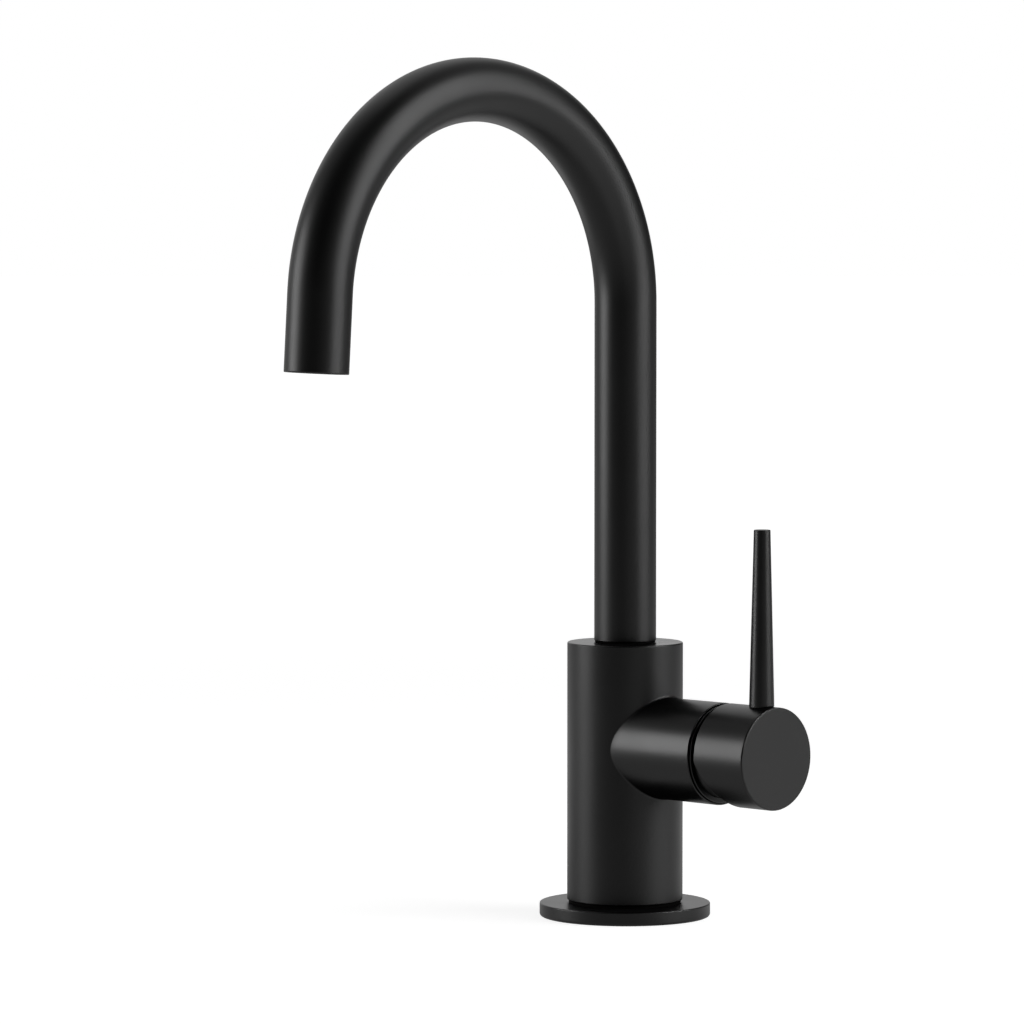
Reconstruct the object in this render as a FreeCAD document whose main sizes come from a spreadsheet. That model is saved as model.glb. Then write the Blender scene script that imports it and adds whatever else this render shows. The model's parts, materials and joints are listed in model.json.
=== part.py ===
import FreeCAD, Part
import math
import os
from types import SimpleNamespace

import Sketcher

# Gooseneck bar faucet with a side handle. Millimetres and degrees, +Z up.
# The deck is z = 0 and the body stands on the Z axis. The spout points to -Y, the handle to +X.

Vector = FreeCAD.Vector
Rotation = FreeCAD.Rotation

DIMENSIONS = {
    # foot
    "flange_radius": 30.65,
    "flange_thickness": 4.95,
    "flange_bottom_round": 1.0,
    "flange_top_round": 0.4,
    "shadow_gap": 1.55,
    "land_inset": 2.0,
    "spigot_inset": 3.25,
    "spigot_clearance": 0.1,
    "spigot_wall": 1.9,
    "foot_recess": 0.6,
    "gasket_inset": 3.6,
    "gasket_width": 5.0,
    "gasket_thickness": 1.5,
    # foot plug with the two inlets
    "plug_height": 11.4,
    "plug_clearance": 0.1,
    "inlet_radius": 4.5,
    "inlet_depth": 8.6,
    "inlet_spacing": 14.4,
    "inlet_offset": 5.0,
    "stud_radius": 3.4,
    "stud_depth": 12.0,
    "stud_offset": 8.0,
    "stud_clearance": 0.8,
    "screw_radius": 1.5,
    "screw_head_radius": 2.75,
    "screw_head_height": 3.0,
    "screw_head_recess": 0.4,
    "screw_grip": 8.0,
    "screw_clearance": 0.1,
    "screw_offset": 5.5,
    "screw_spacing": 21.0,
    "socket_width": 2.5,
    "socket_depth": 1.6,
    # body
    "body_radius": 20.75,
    "body_height": 92.5,
    "body_chamfer": 0.5,
    "valve_rise": 55.22,
    "branch_radius": 18.1,
    "branch_reach": 47.5,
    "branch_chamfer": 0.3,
    "rim_wall": 0.5,
    "dome_seat_depth": 2.0,
    "branch_wall": 2.4,
    "pocket_step": 0.5,
    # water ways
    "feed_radius": 2.2,
    "feed_bore_step": 0.2,
    "feed_spacing": 12.0,
    "feed_rise": 2.0,
    "mixed_radius": 2.6,
    "mixed_drop": 4.5,
    "riser_radius": 4.0,
    "drill_overrun": 0.8,
    "seal_wall": 1.4,
    "seal_height": 1.2,
    "seal_play": 0.1,
    "seal_bore_play": 0.3,
    # valve cartridge
    "press_clearance": 0.1,
    "running_clearance": 0.1,
    "base_thickness": 4.0,
    "fixed_disc_thickness": 3.5,
    "disc_film": 0.02,
    "moving_disc_thickness": 3.0,
    "disc_side_clearance": 0.5,
    "chamber_radius": 6.0,
    "chamber_drop": 3.2,
    "chamber_depth": 1.6,
    "carrier_thickness": 6.5,
    "carrier_clearance": 0.3,
    "carrier_floor": 1.6,
    "housing_wall": 2.0,
    "housing_lip": 1.5,
    "guide_flange_thickness": 2.7,
    "guide_step": 3.0,
    "guide_reach": 4.5,
    "guide_side_clearance": 0.2,
    "stop_depth": 1.5,
    "stop_height": 1.8,
    "stop_half_angle": 6.0,
    "stop_play": 1.0,
    "temperature_limit": 45.0,
    "tilt_limit": 25.0,
    "pivot_inset": 0.5,
    "stem_arm": 12.0,
    "stem_ball_radius": 2.5,
    "stem_ball_play": 0.2,
    "stem_neck_radius": 1.9,
    "stem_eye_radius": 4.0,
    "stem_thickness": 6.0,
    "stem_height": 8.0,
    "pin_radius": 1.5,
    "pin_clearance": 0.05,
    "pin_inset": 0.2,
    # nut and dome that close the branch
    "nut_clearance": 0.1,
    "nut_thread_length": 3.0,
    "nut_below_seat": 0.9,
    "nut_neck_step": 2.1,
    "nut_neck_length": 2.4,
    "nut_bore_clearance": 0.4,
    "dome_thread_clearance": 0.1,
    "dome_flange_gap": 0.3,
    "dome_flange_height": 2.7,
    "dome_skirt_length": 0.7,
    "dome_skirt_clearance": 0.2,
    "dome_wall": 1.2,
    "dome_gap": 0.4,
    "dome_opening_clearance": 1.0,
    # handle
    "handle_gap": 2.8,
    "cap_radius": 18.1,
    "cap_length": 22.86,
    "cap_chamfer": 0.25,
    "cap_wall": 2.1,
    "cap_face": 3.0,
    "relief_drop": 1.5,
    "relief_angle": 28.0,
    "stem_hub_radius": 7.5,
    "stem_hub_length": 6.9,
    "stem_socket_clearance": 0.05,
    "stem_end_gap": 0.3,
    "rib_half_width": 5.0,
    "lever_setback": 7.1,
    "lever_gap": 0.5,
    "lever_length": 61.4,
    "lever_base_radius": 4.43,
    "lever_tip_radius": 2.93,
    "lever_chamfer": 0.3,
    "lever_collar_radius": 3.2,
    "lever_spigot_radius": 2.5,
    "lever_spigot_length": 9.0,
    "lever_thread_clearance": 0.05,
    "spot_face_depth": 0.3,
    "spot_face_clearance": 0.1,
    "set_screw_radius": 2.0,
    "set_screw_length": 8.0,
    "set_screw_clearance": 0.05,
    # swivel joint of the spout
    "spout_gap": 1.2,
    "socket_radius": 10.0,
    "socket_floor_gap": 1.0,
    "bush_sleeve_length": 6.0,
    "bush_flange_step": 0.4,
    "bush_press_clearance": 0.02,
    "bush_slit": 1.0,
    "hub_clearance": 0.2,
    "hub_waist_radius": 8.7,
    "hub_bore_radius": 5.5,
    "hub_land": 2.0,
    "hub_spigot_length": 12.0,
    "braze_gap": 0.05,
    "clip_groove_width": 1.8,
    "clip_thickness": 1.0,
    "clip_groove_depth": 0.8,
    "clip_inner_clearance": 0.3,
    "clip_slit": 3.0,
    "clip_hub_groove_depth": 0.8,
    "ring_groove_width": 2.2,
    "ring_groove_depth": 1.6,
    "ring_clearance": 0.03,
    "glide_groove_width": 2.2,
    "glide_groove_depth": 0.9,
    "glide_clearance": 0.05,
    "glide_slit": 1.0,
    # spout
    "tube_radius": 11.1,
    "tube_wall": 1.4,
    "riser_length": 120.0,
    "bend_radius": 74.65,
    "bend_angle": 176.26,
    "drop_length": 27.0,
    "outlet_round": 0.35,
    # outlet
    "outlet_bush_recess": 1.0,
    "outlet_bush_length": 12.0,
    "outlet_bush_wall": 1.05,
    "outlet_shoulder_wall": 1.9,
    "outlet_shoulder_length": 3.5,
    "aerator_recess": 0.6,
    "aerator_length": 7.4,
    "aerator_thread_clearance": 0.1,
    "aerator_wall": 1.0,
    "aerator_lip": 0.6,
    "aerator_lip_height": 0.9,
    "aerator_play": 0.05,
    "core_height": 4.2,
    "core_hole_radius": 0.75,
    "screen_thickness": 0.5,
    "screen_hole_radius": 0.55,
    "inner_ring_radius": 2.7,
    "outer_ring_radius": 5.2,
    "washer_inner_radius": 5.6,
}

INNER_RING_HOLES = 6
OUTER_RING_HOLES = 12
HEXAGON_SIDES = 6
FULL_TURN = 360.0
MATCH = 0.001  # how closely an edge's size and place have to match the ones looked for

doc = FreeCAD.newDocument("bar_faucet")


class Size:
    """A value with the sheet expression that gives it, so that sums of sizes stay tied."""

    def __init__(self, value, text):
        self.value = value
        self.text = text

    def __add__(self, other):
        return Size(self.value + number(other), f"({self.text} + {wording(other)})")

    def __sub__(self, other):
        return Size(self.value - number(other), f"({self.text} - {wording(other)})")

    def __mul__(self, other):
        return Size(self.value * number(other), f"({self.text} * {wording(other)})")

    def __truediv__(self, other):
        return Size(self.value / number(other), f"({self.text} / {wording(other)})")

    def __neg__(self):
        return Size(-self.value, f"(-{self.text})")

    __radd__ = __add__
    __rmul__ = __mul__

    def __rsub__(self, other):
        return Size(number(other) - self.value, f"({wording(other)} - {self.text})")


def number(size):
    return size.value if isinstance(size, Size) else float(size)


def wording(size):
    return size.text if isinstance(size, Size) else repr(float(size))


def sine(angle):
    return Size(math.sin(math.radians(angle.value)), f"sin({angle.text})")


def cosine(angle):
    return Size(math.cos(math.radians(angle.value)), f"cos({angle.text})")


def fill_sheet():
    """The driving dimensions as cells of one sheet, each with an alias."""
    sheet = doc.addObject("Spreadsheet::Sheet", "dim")
    for row, (name, value) in enumerate(DIMENSIONS.items(), 1):
        sheet.set(f"A{row}", name)
        sheet.set(f"B{row}", str(value))
        sheet.setAlias(f"B{row}", name)
    doc.recompute()
    return SimpleNamespace(**{name: Size(value, f"dim.{name}") for name, value in DIMENSIONS.items()})


d = fill_sheet()

# Heights, from the deck up.
d.body_bottom = d.flange_thickness + d.shadow_gap
d.body_top = d.body_bottom + d.body_height
d.plug_top = d.foot_recess + d.plug_height
d.valve_z = d.body_bottom + d.valve_rise
d.feed_z = d.valve_z + d.feed_rise
d.mixed_z = d.valve_z - d.mixed_drop
d.tube_end = d.body_top + d.spout_gap
d.bend_start = d.tube_end + d.riser_length

# Levels of the swivel joint, from the top of the body down.
d.bush_bottom = d.body_top - d.bush_sleeve_length
d.clip_groove_top = d.bush_bottom - d.hub_land
d.clip_groove_bottom = d.clip_groove_top - d.clip_groove_width
d.upper_ring_top = d.clip_groove_bottom - d.hub_land
d.upper_ring_bottom = d.upper_ring_top - d.ring_groove_width
d.lower_ring_top = d.upper_ring_bottom - d.hub_land
d.lower_ring_bottom = d.lower_ring_top - d.ring_groove_width
d.glide_top = d.lower_ring_bottom - d.hub_land
d.glide_bottom = d.glide_top - d.glide_groove_width
d.hub_bottom = d.glide_bottom - d.hub_land
d.socket_bottom = d.hub_bottom - d.socket_floor_gap
d.clip_bottom = (d.clip_groove_top + d.clip_groove_bottom - d.clip_thickness) / 2

# Radii about the Z axis.
d.spigot_radius = d.body_radius - d.spigot_inset
d.foot_pocket_radius = d.spigot_radius - d.spigot_wall
d.hub_radius = d.socket_radius - d.hub_clearance
d.tube_bore = d.tube_radius - d.tube_wall
d.gasket_outer_radius = d.flange_radius - d.gasket_inset
d.gasket_inner_radius = d.gasket_outer_radius - d.gasket_width
d.clip_groove_radius = d.socket_radius + d.clip_groove_depth
d.seal_recess = d.seal_bore_play + d.seal_wall + d.seal_play

# Places along the branch, from its open end in.
d.dome_seat = d.branch_reach - d.dome_seat_depth
d.nut_front = d.dome_seat - d.nut_below_seat
d.housing_front = d.nut_front - d.nut_thread_length
d.guide_front = d.housing_front - d.housing_lip - d.running_clearance
d.guide_back = d.guide_front - d.guide_flange_thickness
d.carrier_front = d.guide_back - d.carrier_clearance
d.carrier_back = d.carrier_front - d.carrier_thickness
d.moving_disc_back = d.carrier_back - d.moving_disc_thickness
d.fixed_disc_front = d.moving_disc_back - d.disc_film
d.fixed_disc_back = d.fixed_disc_front - d.fixed_disc_thickness
d.pocket_floor = d.fixed_disc_back - d.base_thickness
d.pivot_x = d.branch_reach - d.pivot_inset
d.ball_x = d.pivot_x - d.stem_arm
d.sleeve_front = d.pivot_x + d.guide_reach

# Radii about the branch's axis, from the outside in.
d.rim_radius = d.branch_radius - d.rim_wall
d.thread_radius = d.branch_radius - d.branch_wall
d.pocket_radius = d.thread_radius - d.pocket_step
d.cartridge_radius = d.pocket_radius - d.press_clearance
d.housing_bore = d.cartridge_radius - d.housing_wall
d.disc_radius = d.housing_bore - d.running_clearance
d.sleeve_radius = d.disc_radius - d.guide_step
d.nut_neck_radius = d.thread_radius - d.nut_neck_step
d.cavity_radius = d.cap_radius - d.cap_wall
d.dome_radius = d.cavity_radius - d.dome_gap

# The disc's stroke, from closed at the bottom to open at the top.
d.stroke = d.stem_arm * sine(d.tilt_limit)
d.slider_z = d.valve_z - d.stroke / 2
d.slider_radius = d.housing_bore - d.stroke / 2 - d.disc_side_clearance

# Places along the handle.
d.cap_back = d.branch_reach + d.handle_gap
d.cap_front = d.cap_back + d.cap_length
d.cap_inside = d.cap_front - d.cap_face
d.stem_hub_back = d.cap_inside - d.stem_hub_length
d.lever_x = d.cap_front - d.lever_setback
d.crown_z = d.valve_z + d.cap_radius
d.lever_seat = d.crown_z - d.spot_face_depth
d.lever_shoulder = d.crown_z + d.lever_gap
d.lever_tip = d.lever_shoulder + d.lever_length

# The outlet's centre.
d.outlet_y = d.bend_radius * (cosine(d.bend_angle) - 1) - d.drop_length * sine(d.bend_angle)
d.outlet_z = d.bend_start + d.bend_radius * sine(d.bend_angle) + d.drop_length * cosine(d.bend_angle)
d.outlet_lean = FULL_TURN / 2 - d.bend_angle

# Depths into the outlet.
d.aerator_top = d.aerator_recess + d.aerator_length
d.core_bottom = d.aerator_recess + d.aerator_lip_height
d.core_top = d.core_bottom + d.core_height
d.outlet_bush_top = d.outlet_bush_recess + d.outlet_bush_length
d.outlet_shoulder = d.outlet_bush_top - d.outlet_shoulder_length
d.outlet_thread_radius = d.tube_bore - d.braze_gap - d.outlet_bush_wall
d.aerator_radius = d.outlet_thread_radius - d.aerator_thread_clearance
d.core_radius = d.aerator_radius - d.aerator_wall - d.aerator_play

TURNS = {
    "X": (Vector(0, 1, 0), 90.0),
    "Y": (Vector(-1, 0, 0), 90.0),
    "Z": (Vector(0, 0, 1), 0.0),
}


def tie(thing, place, size):
    """Binds a property to its size's expression."""
    if isinstance(size, Size):
        thing.setExpression(place, size.text)


def put(thing, at, axis="Z"):
    """Places a thing, with its own Z axis turned along one of the frame's axes."""
    thing.Placement = FreeCAD.Placement(Vector(*[number(part) for part in at]), Rotation(*TURNS[axis]))
    for letter, part in zip("xyz", at):
        tie(thing, f".Placement.Base.{letter}", part)


def cylinder(radius, length, at=(0, 0, 0), axis="Z"):
    thing = doc.addObject("Part::Cylinder", "Cylinder")
    thing.Radius = number(radius)
    thing.Height = number(length)
    tie(thing, "Radius", radius)
    tie(thing, "Height", length)
    put(thing, at, axis)
    return thing


def between(radius, start, end, axis="Z", across=(0, 0)):
    """A cylinder from one place on an axis to another, off the axis by two distances."""
    first, second = across
    if axis == "X":
        return cylinder(radius, end - start, (start, first, second), axis)
    if axis == "Y":
        return cylinder(radius, end - start, (first, start, second), axis)
    return cylinder(radius, end - start, (first, second, start), axis)


def box(low, lengths):
    thing = doc.addObject("Part::Box", "Box")
    for name, length in zip(("Length", "Width", "Height"), lengths):
        setattr(thing, name, number(length))
        tie(thing, name, length)
    put(thing, low)
    return thing


def hexagon(flats, height, at):
    """A hexagonal prism, given across its flats."""
    half_side = FULL_TURN / HEXAGON_SIDES / 2
    corner_radius = flats / 2 / cosine(Size(half_side, repr(half_side)))
    thing = doc.addObject("Part::Prism", "Hexagon")
    thing.Polygon = HEXAGON_SIDES
    thing.Circumradius = number(corner_radius)
    thing.Height = number(height)
    tie(thing, "Circumradius", corner_radius)
    tie(thing, "Height", height)
    put(thing, at)
    return thing


def ball(radius, at):
    thing = doc.addObject("Part::Sphere", "Ball")
    thing.Radius = number(radius)
    tie(thing, "Radius", radius)
    put(thing, at)
    return thing


def fuse(label, *pieces):
    thing = doc.addObject("Part::MultiFuse", label)
    thing.Shapes = list(pieces)
    thing.Refine = True
    return thing


def cut(label, base, *tools):
    thing = doc.addObject("Part::Cut", label)
    thing.Base = base
    thing.Tool = tools[0] if len(tools) == 1 else fuse(label + "_cuts", *tools)
    thing.Refine = True
    return thing


def group(label, *pieces):
    """Several loose solids of one kind, kept as one node."""
    thing = doc.addObject("Part::Compound", label)
    thing.Links = list(pieces)
    return thing


def origin_plane(body, role):
    return [plane for plane in body.Origin.OriginFeatures if plane.Role == role][0]


def new_body(label):
    return doc.addObject("PartDesign::Body", label)


def new_sketch(body, name, plane):
    sketch = body.newObject("Sketcher::SketchObject", name)
    sketch.AttachmentSupport = [(origin_plane(body, plane), "")]
    sketch.MapMode = "FlatFace"
    return sketch


def hold(sketch, kind, place, size):
    """Holds a point's distance from the sketch's origin."""
    if number(size) == 0:
        axis = -2 if kind == "DistanceX" else -1
        sketch.addConstraint(Sketcher.Constraint("PointOnObject", *place, axis))
        return
    constraint = sketch.addConstraint(Sketcher.Constraint(kind, -1, 1, *place, number(size)))
    tie(sketch, f"Constraints[{constraint}]", size)


def outline(body, plane, corners):
    """A closed outline of straight edges, each corner held to the sheet."""
    sketch = new_sketch(body, "Outline", plane)
    points = [Vector(number(across), number(up), 0) for across, up in corners]
    for start, end in zip(points, points[1:] + points[:1]):
        sketch.addGeometry(Part.LineSegment(start, end), False)
    edges = list(range(len(corners)))
    for edge, following in zip(edges, edges[1:] + edges[:1]):
        across, up = corners[edge]
        sketch.addConstraint(Sketcher.Constraint("Coincident", edge, 2, following, 1))
        hold(sketch, "DistanceX", (edge, 1), across)
        hold(sketch, "DistanceY", (edge, 1), up)
    return sketch


def circle(sketch, radius, across=0, up=0):
    centre = Vector(number(across), number(up), 0)
    ring = sketch.addGeometry(Part.Circle(centre, Vector(0, 0, 1), number(radius)), False)
    hold(sketch, "DistanceX", (ring, 3), across)
    hold(sketch, "DistanceY", (ring, 3), up)
    constraint = sketch.addConstraint(Sketcher.Constraint("Radius", ring, number(radius)))
    tie(sketch, f"Constraints[{constraint}]", radius)


def turned(label, corners, axis="Z"):
    """A turned piece from corners of (radius, place along the axis)."""
    body = new_body(label)
    if axis == "Z":
        sketch = outline(body, "XZ_Plane", corners)
        centre_line = "V_Axis"
    else:
        sketch = outline(body, "XY_Plane", [(along, radius) for radius, along in corners])
        centre_line = "H_Axis"
    turning = body.newObject("PartDesign::Revolution", "Turning")
    turning.Profile = sketch
    turning.ReferenceAxis = (sketch, [centre_line])
    turning.Angle = FULL_TURN
    return body


def turned_on_branch(label, corners):
    """A turned piece about the branch's axis."""
    body = turned(label, corners, "X")
    put(body, (0, 0, d.valve_z))
    return body


def tube_corners(inner, outer, bottom, top):
    return [(inner, bottom), (outer, bottom), (outer, top), (inner, top)]


def round_edges(body, name, radius, circle_radius, centre):
    """Rounds the circular edges that have this radius and this centre."""
    doc.recompute()
    base = body.Tip
    found = []
    for order, edge in enumerate(base.Shape.Edges, 1):
        curve = edge.Curve
        if not isinstance(curve, Part.Circle) or abs(curve.Radius - number(circle_radius)) > MATCH:
            continue
        if curve.Center.distanceToPoint(centre) < MATCH:
            found.append(f"Edge{order}")
    rounding = body.newObject("PartDesign::Fillet", name)
    rounding.Base = (base, found)
    rounding.Radius = number(radius)
    tie(rounding, "Radius", radius)
    return rounding


def slit(radius, width, bottom, top):
    """The gap of a split ring, at the back."""
    return box((-width / 2, 0, bottom), (width, radius * 2, top - bottom))


# ---- foot ----

def base_flange():
    bore = d.spigot_radius + d.spigot_clearance
    land = d.body_radius - d.land_inset
    body = turned("base_flange", [
        (bore, 0),
        (d.gasket_inner_radius, 0),
        (d.gasket_inner_radius, d.gasket_thickness),
        (d.gasket_outer_radius, d.gasket_thickness),
        (d.gasket_outer_radius, 0),
        (d.flange_radius, 0),
        (d.flange_radius, d.flange_thickness),
        (land, d.flange_thickness),
        (land, d.body_bottom),
        (bore, d.body_bottom),
    ])
    top = Vector(0, 0, d.flange_thickness.value)
    round_edges(body, "BottomRound", d.flange_bottom_round, d.flange_radius, Vector())
    round_edges(body, "TopRound", d.flange_top_round, d.flange_radius, top)
    return body


def base_gasket():
    inner = d.gasket_inner_radius
    return turned("base_gasket", tube_corners(inner, d.gasket_outer_radius, 0, d.gasket_thickness))


def pair(make, spacing):
    """The same tool or piece on both sides of the XZ plane."""
    return [make(spacing / 2), make(-spacing / 2)]


def inlet_manifold():
    bottom = d.foot_recess
    plug = cylinder(d.foot_pocket_radius - d.plug_clearance, d.plug_height, (0, 0, bottom))
    head_room = d.screw_head_recess + d.screw_head_height
    tools = pair(lambda y: cylinder(d.inlet_radius, d.inlet_depth, (d.inlet_offset, y, bottom)),
                 d.inlet_spacing)
    tools += pair(lambda y: between(d.feed_radius, bottom, d.plug_top, "Z", (d.inlet_offset, y)),
                  d.feed_spacing)
    tools += pair(lambda y: between(d.feed_radius + d.seal_recess, d.plug_top - d.seal_height,
                                    d.plug_top, "Z", (d.inlet_offset, y)), d.feed_spacing)
    tools += pair(lambda y: cylinder(d.screw_head_radius + d.screw_clearance, head_room,
                                     (-d.screw_offset, y, bottom)), d.screw_spacing)
    tools += pair(lambda y: cylinder(d.screw_radius + d.screw_clearance, d.plug_height,
                                     (-d.screw_offset, y, bottom)), d.screw_spacing)
    tools.append(cylinder(d.stud_radius + d.stud_clearance, d.plug_height, (-d.stud_offset, 0, bottom)))
    return cut("inlet_manifold", plug, *tools)


def seal_ring(port_radius, at, axis):
    """A square-section rubber ring around a water port."""
    inner = port_radius + d.seal_bore_play
    rim = cylinder(inner + d.seal_wall, d.seal_height, at, axis)
    return cut("seal", rim, cylinder(inner, d.seal_height, at, axis))


def manifold_seals():
    height = d.plug_top - d.seal_height
    return group("manifold_seals", *pair(
        lambda y: seal_ring(d.feed_radius, (d.inlet_offset, y, height), "Z"), d.feed_spacing))


def manifold_screw(y):
    head_bottom = d.foot_recess + d.screw_head_recess
    head_top = head_bottom + d.screw_head_height
    place = (-d.screw_offset, y)
    blank = fuse("screw_blank",
                 between(d.screw_head_radius, head_bottom, head_top, "Z", place),
                 between(d.screw_radius, head_bottom, d.plug_top + d.screw_grip, "Z", place))
    key = hexagon(d.socket_width, d.socket_depth, (-d.screw_offset, y, head_bottom))
    return cut("screw", blank, key)


def manifold_screws():
    return group("manifold_screws", *pair(manifold_screw, d.screw_spacing))


# ---- body ----

def body_blank():
    """The casting before it is bored: an upright hub with a branch to the side."""
    edge = d.body_chamfer
    hub = turned("hub_blank", [
        (0, d.foot_recess),
        (d.spigot_radius, d.foot_recess),
        (d.spigot_radius, d.body_bottom),
        (d.body_radius - edge, d.body_bottom),
        (d.body_radius, d.body_bottom + edge),
        (d.body_radius, d.body_top - edge),
        (d.body_radius - edge, d.body_top),
        (0, d.body_top),
    ])
    branch = turned_on_branch("branch_blank", [
        (0, 0),
        (d.branch_radius, 0),
        (d.branch_radius, d.branch_reach - d.branch_chamfer),
        (d.branch_radius - d.branch_chamfer, d.branch_reach),
        (0, d.branch_reach),
    ])
    return fuse("body_blank", hub, branch)


def valve_pocket():
    return turned_on_branch("valve_pocket", [
        (0, d.pocket_floor),
        (d.pocket_radius, d.pocket_floor),
        (d.pocket_radius, d.housing_front),
        (d.thread_radius, d.housing_front),
        (d.thread_radius, d.dome_seat),
        (d.rim_radius, d.dome_seat),
        (d.rim_radius, d.branch_reach),
        (0, d.branch_reach),
    ])


def faucet_body():
    feed_bore = d.feed_radius + d.feed_bore_step
    feed_top = d.feed_z + feed_bore + d.drill_overrun
    riser_bottom = d.mixed_z - d.mixed_radius - d.drill_overrun
    tools = [
        valve_pocket(),
        cylinder(d.foot_pocket_radius, d.plug_height, (0, 0, d.foot_recess)),
        between(d.stud_radius, d.plug_top, d.plug_top + d.stud_depth, "Z", (-d.stud_offset, 0)),
        between(d.mixed_radius, 0, d.pocket_floor, "X", (0, d.mixed_z)),
        between(d.riser_radius, riser_bottom, d.socket_bottom),
        between(d.socket_radius, d.socket_bottom, d.body_top),
        cylinder(d.clip_groove_radius, d.clip_thickness, (0, 0, d.clip_bottom)),
    ]
    tools += pair(lambda y: between(feed_bore, d.plug_top, feed_top, "Z", (d.inlet_offset, y)),
                  d.feed_spacing)
    tools += pair(lambda y: between(d.feed_radius, d.inlet_offset, d.pocket_floor, "X", (y, d.feed_z)),
                  d.feed_spacing)
    screw_depth = d.screw_grip + d.screw_clearance
    tools += pair(lambda y: cylinder(d.screw_radius + d.screw_clearance, screw_depth,
                                     (-d.screw_offset, y, d.plug_top)), d.screw_spacing)
    return cut("faucet_body", body_blank(), *tools)


# ---- valve cartridge ----

def port_drills(start, end, widen=0):
    """The two inlet ports and the outlet port, drilled along the branch's axis."""
    tools = pair(lambda y: between(d.feed_radius + widen, start, end, "X", (y, d.feed_z)), d.feed_spacing)
    tools.append(between(d.mixed_radius + widen, start, end, "X", (0, d.mixed_z)))
    return tools


def on_branch(radius, start, end):
    return between(radius, start, end, "X", (0, d.valve_z))


def cartridge_base():
    plate = on_branch(d.cartridge_radius, d.pocket_floor, d.fixed_disc_back)
    tools = port_drills(d.pocket_floor, d.fixed_disc_back)
    tools += port_drills(d.pocket_floor, d.pocket_floor + d.seal_height, d.seal_recess)
    return cut("cartridge_base", plate, *tools)


def port_seals():
    rings = pair(lambda y: seal_ring(d.feed_radius, (d.pocket_floor, y, d.feed_z), "X"), d.feed_spacing)
    rings.append(seal_ring(d.mixed_radius, (d.pocket_floor, 0, d.mixed_z), "X"))
    return group("port_seals", *rings)


def fixed_disc():
    disc = on_branch(d.disc_radius, d.fixed_disc_back, d.fixed_disc_front)
    return cut("fixed_disc", disc, *port_drills(d.fixed_disc_back, d.fixed_disc_front))


def moving_disc():
    """Joins the ports through a chamber in its back when it is raised."""
    disc = between(d.slider_radius, d.moving_disc_back, d.carrier_back, "X", (0, d.slider_z))
    chamber = cylinder(d.chamber_radius, d.chamber_depth,
                       (d.moving_disc_back, 0, d.slider_z - d.chamber_drop), "X")
    return cut("moving_disc", disc, chamber)


def disc_carrier():
    """Holds the moving disc and takes the stem's ball in a blind hole."""
    carrier = between(d.slider_radius, d.carrier_back, d.carrier_front, "X", (0, d.slider_z))
    hole = between(d.stem_ball_radius + d.stem_ball_play, d.carrier_back + d.carrier_floor,
                   d.carrier_front, "X", (0, d.valve_z))
    return cut("disc_carrier", carrier, hole)


def stop_sector(radius, start, end, half_angle):
    """A sector about the branch's axis that points straight down."""
    thing = between(radius, start, end, "X", (0, d.valve_z))
    thing.Angle = number(half_angle * 2)
    tie(thing, "Angle", half_angle * 2)
    place = f"vector({start.text}; 0; {d.valve_z.text})"
    turn = f"rotation(vector(0; 1; 0); 90) * rotation(vector(0; 0; 1); -{half_angle.text})"
    thing.setExpression(".Placement.Base.x", None)
    thing.setExpression(".Placement.Base.z", None)
    thing.setExpression("Placement", f"placement({place}; {turn})")
    return thing


def cartridge_housing():
    shell = turned_on_branch("housing_shell", [
        (d.housing_bore, d.fixed_disc_back),
        (d.cartridge_radius, d.fixed_disc_back),
        (d.cartridge_radius, d.housing_front),
        (d.sleeve_radius + d.running_clearance, d.housing_front),
        (d.sleeve_radius + d.running_clearance, d.housing_front - d.housing_lip),
        (d.housing_bore, d.housing_front - d.housing_lip),
    ])
    lug_back = d.housing_front - d.housing_lip - d.stop_depth
    lug = cut("stop_lug",
              stop_sector(d.cartridge_radius, lug_back, d.housing_front, d.stop_half_angle),
              on_branch(d.housing_bore - d.stop_height, lug_back, d.housing_front))
    return fuse("cartridge_housing", shell, lug)


def stem_slot():
    """The slot through the guide in which the stem tilts."""
    half_width = d.stem_thickness / 2 + d.guide_side_clearance
    half_height = d.stroke + d.stem_ball_radius + d.carrier_clearance
    return box((d.guide_back, -half_width, d.valve_z - half_height),
               (d.sleeve_front - d.guide_back, half_width * 2, half_height * 2))


def stem_guide():
    blank = turned_on_branch("guide_blank", [
        (0, d.guide_back),
        (d.disc_radius, d.guide_back),
        (d.disc_radius, d.guide_front),
        (d.sleeve_radius, d.guide_front),
        (d.sleeve_radius, d.sleeve_front),
        (0, d.sleeve_front),
    ])
    swing = d.temperature_limit + d.stop_half_angle + d.stop_play
    notch_back = d.guide_front - d.stop_depth - d.carrier_clearance
    notch_floor = d.housing_bore - d.stop_height - d.carrier_clearance
    notch = cut("stop_notch", stop_sector(d.housing_bore, notch_back, d.guide_front, swing),
                on_branch(notch_floor, notch_back, d.guide_front))
    pin_hole = between(d.pin_radius, -d.sleeve_radius, d.sleeve_radius, "Y", (d.pivot_x, d.valve_z))
    return cut("stem_guide", blank, notch, stem_slot(), pin_hole)


def pivot_pin():
    half_length = d.sleeve_radius - d.pin_inset
    pin = between(d.pin_radius, -half_length, half_length, "Y", (d.pivot_x, d.valve_z))
    pin.Label = "pivot_pin"
    return pin


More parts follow.
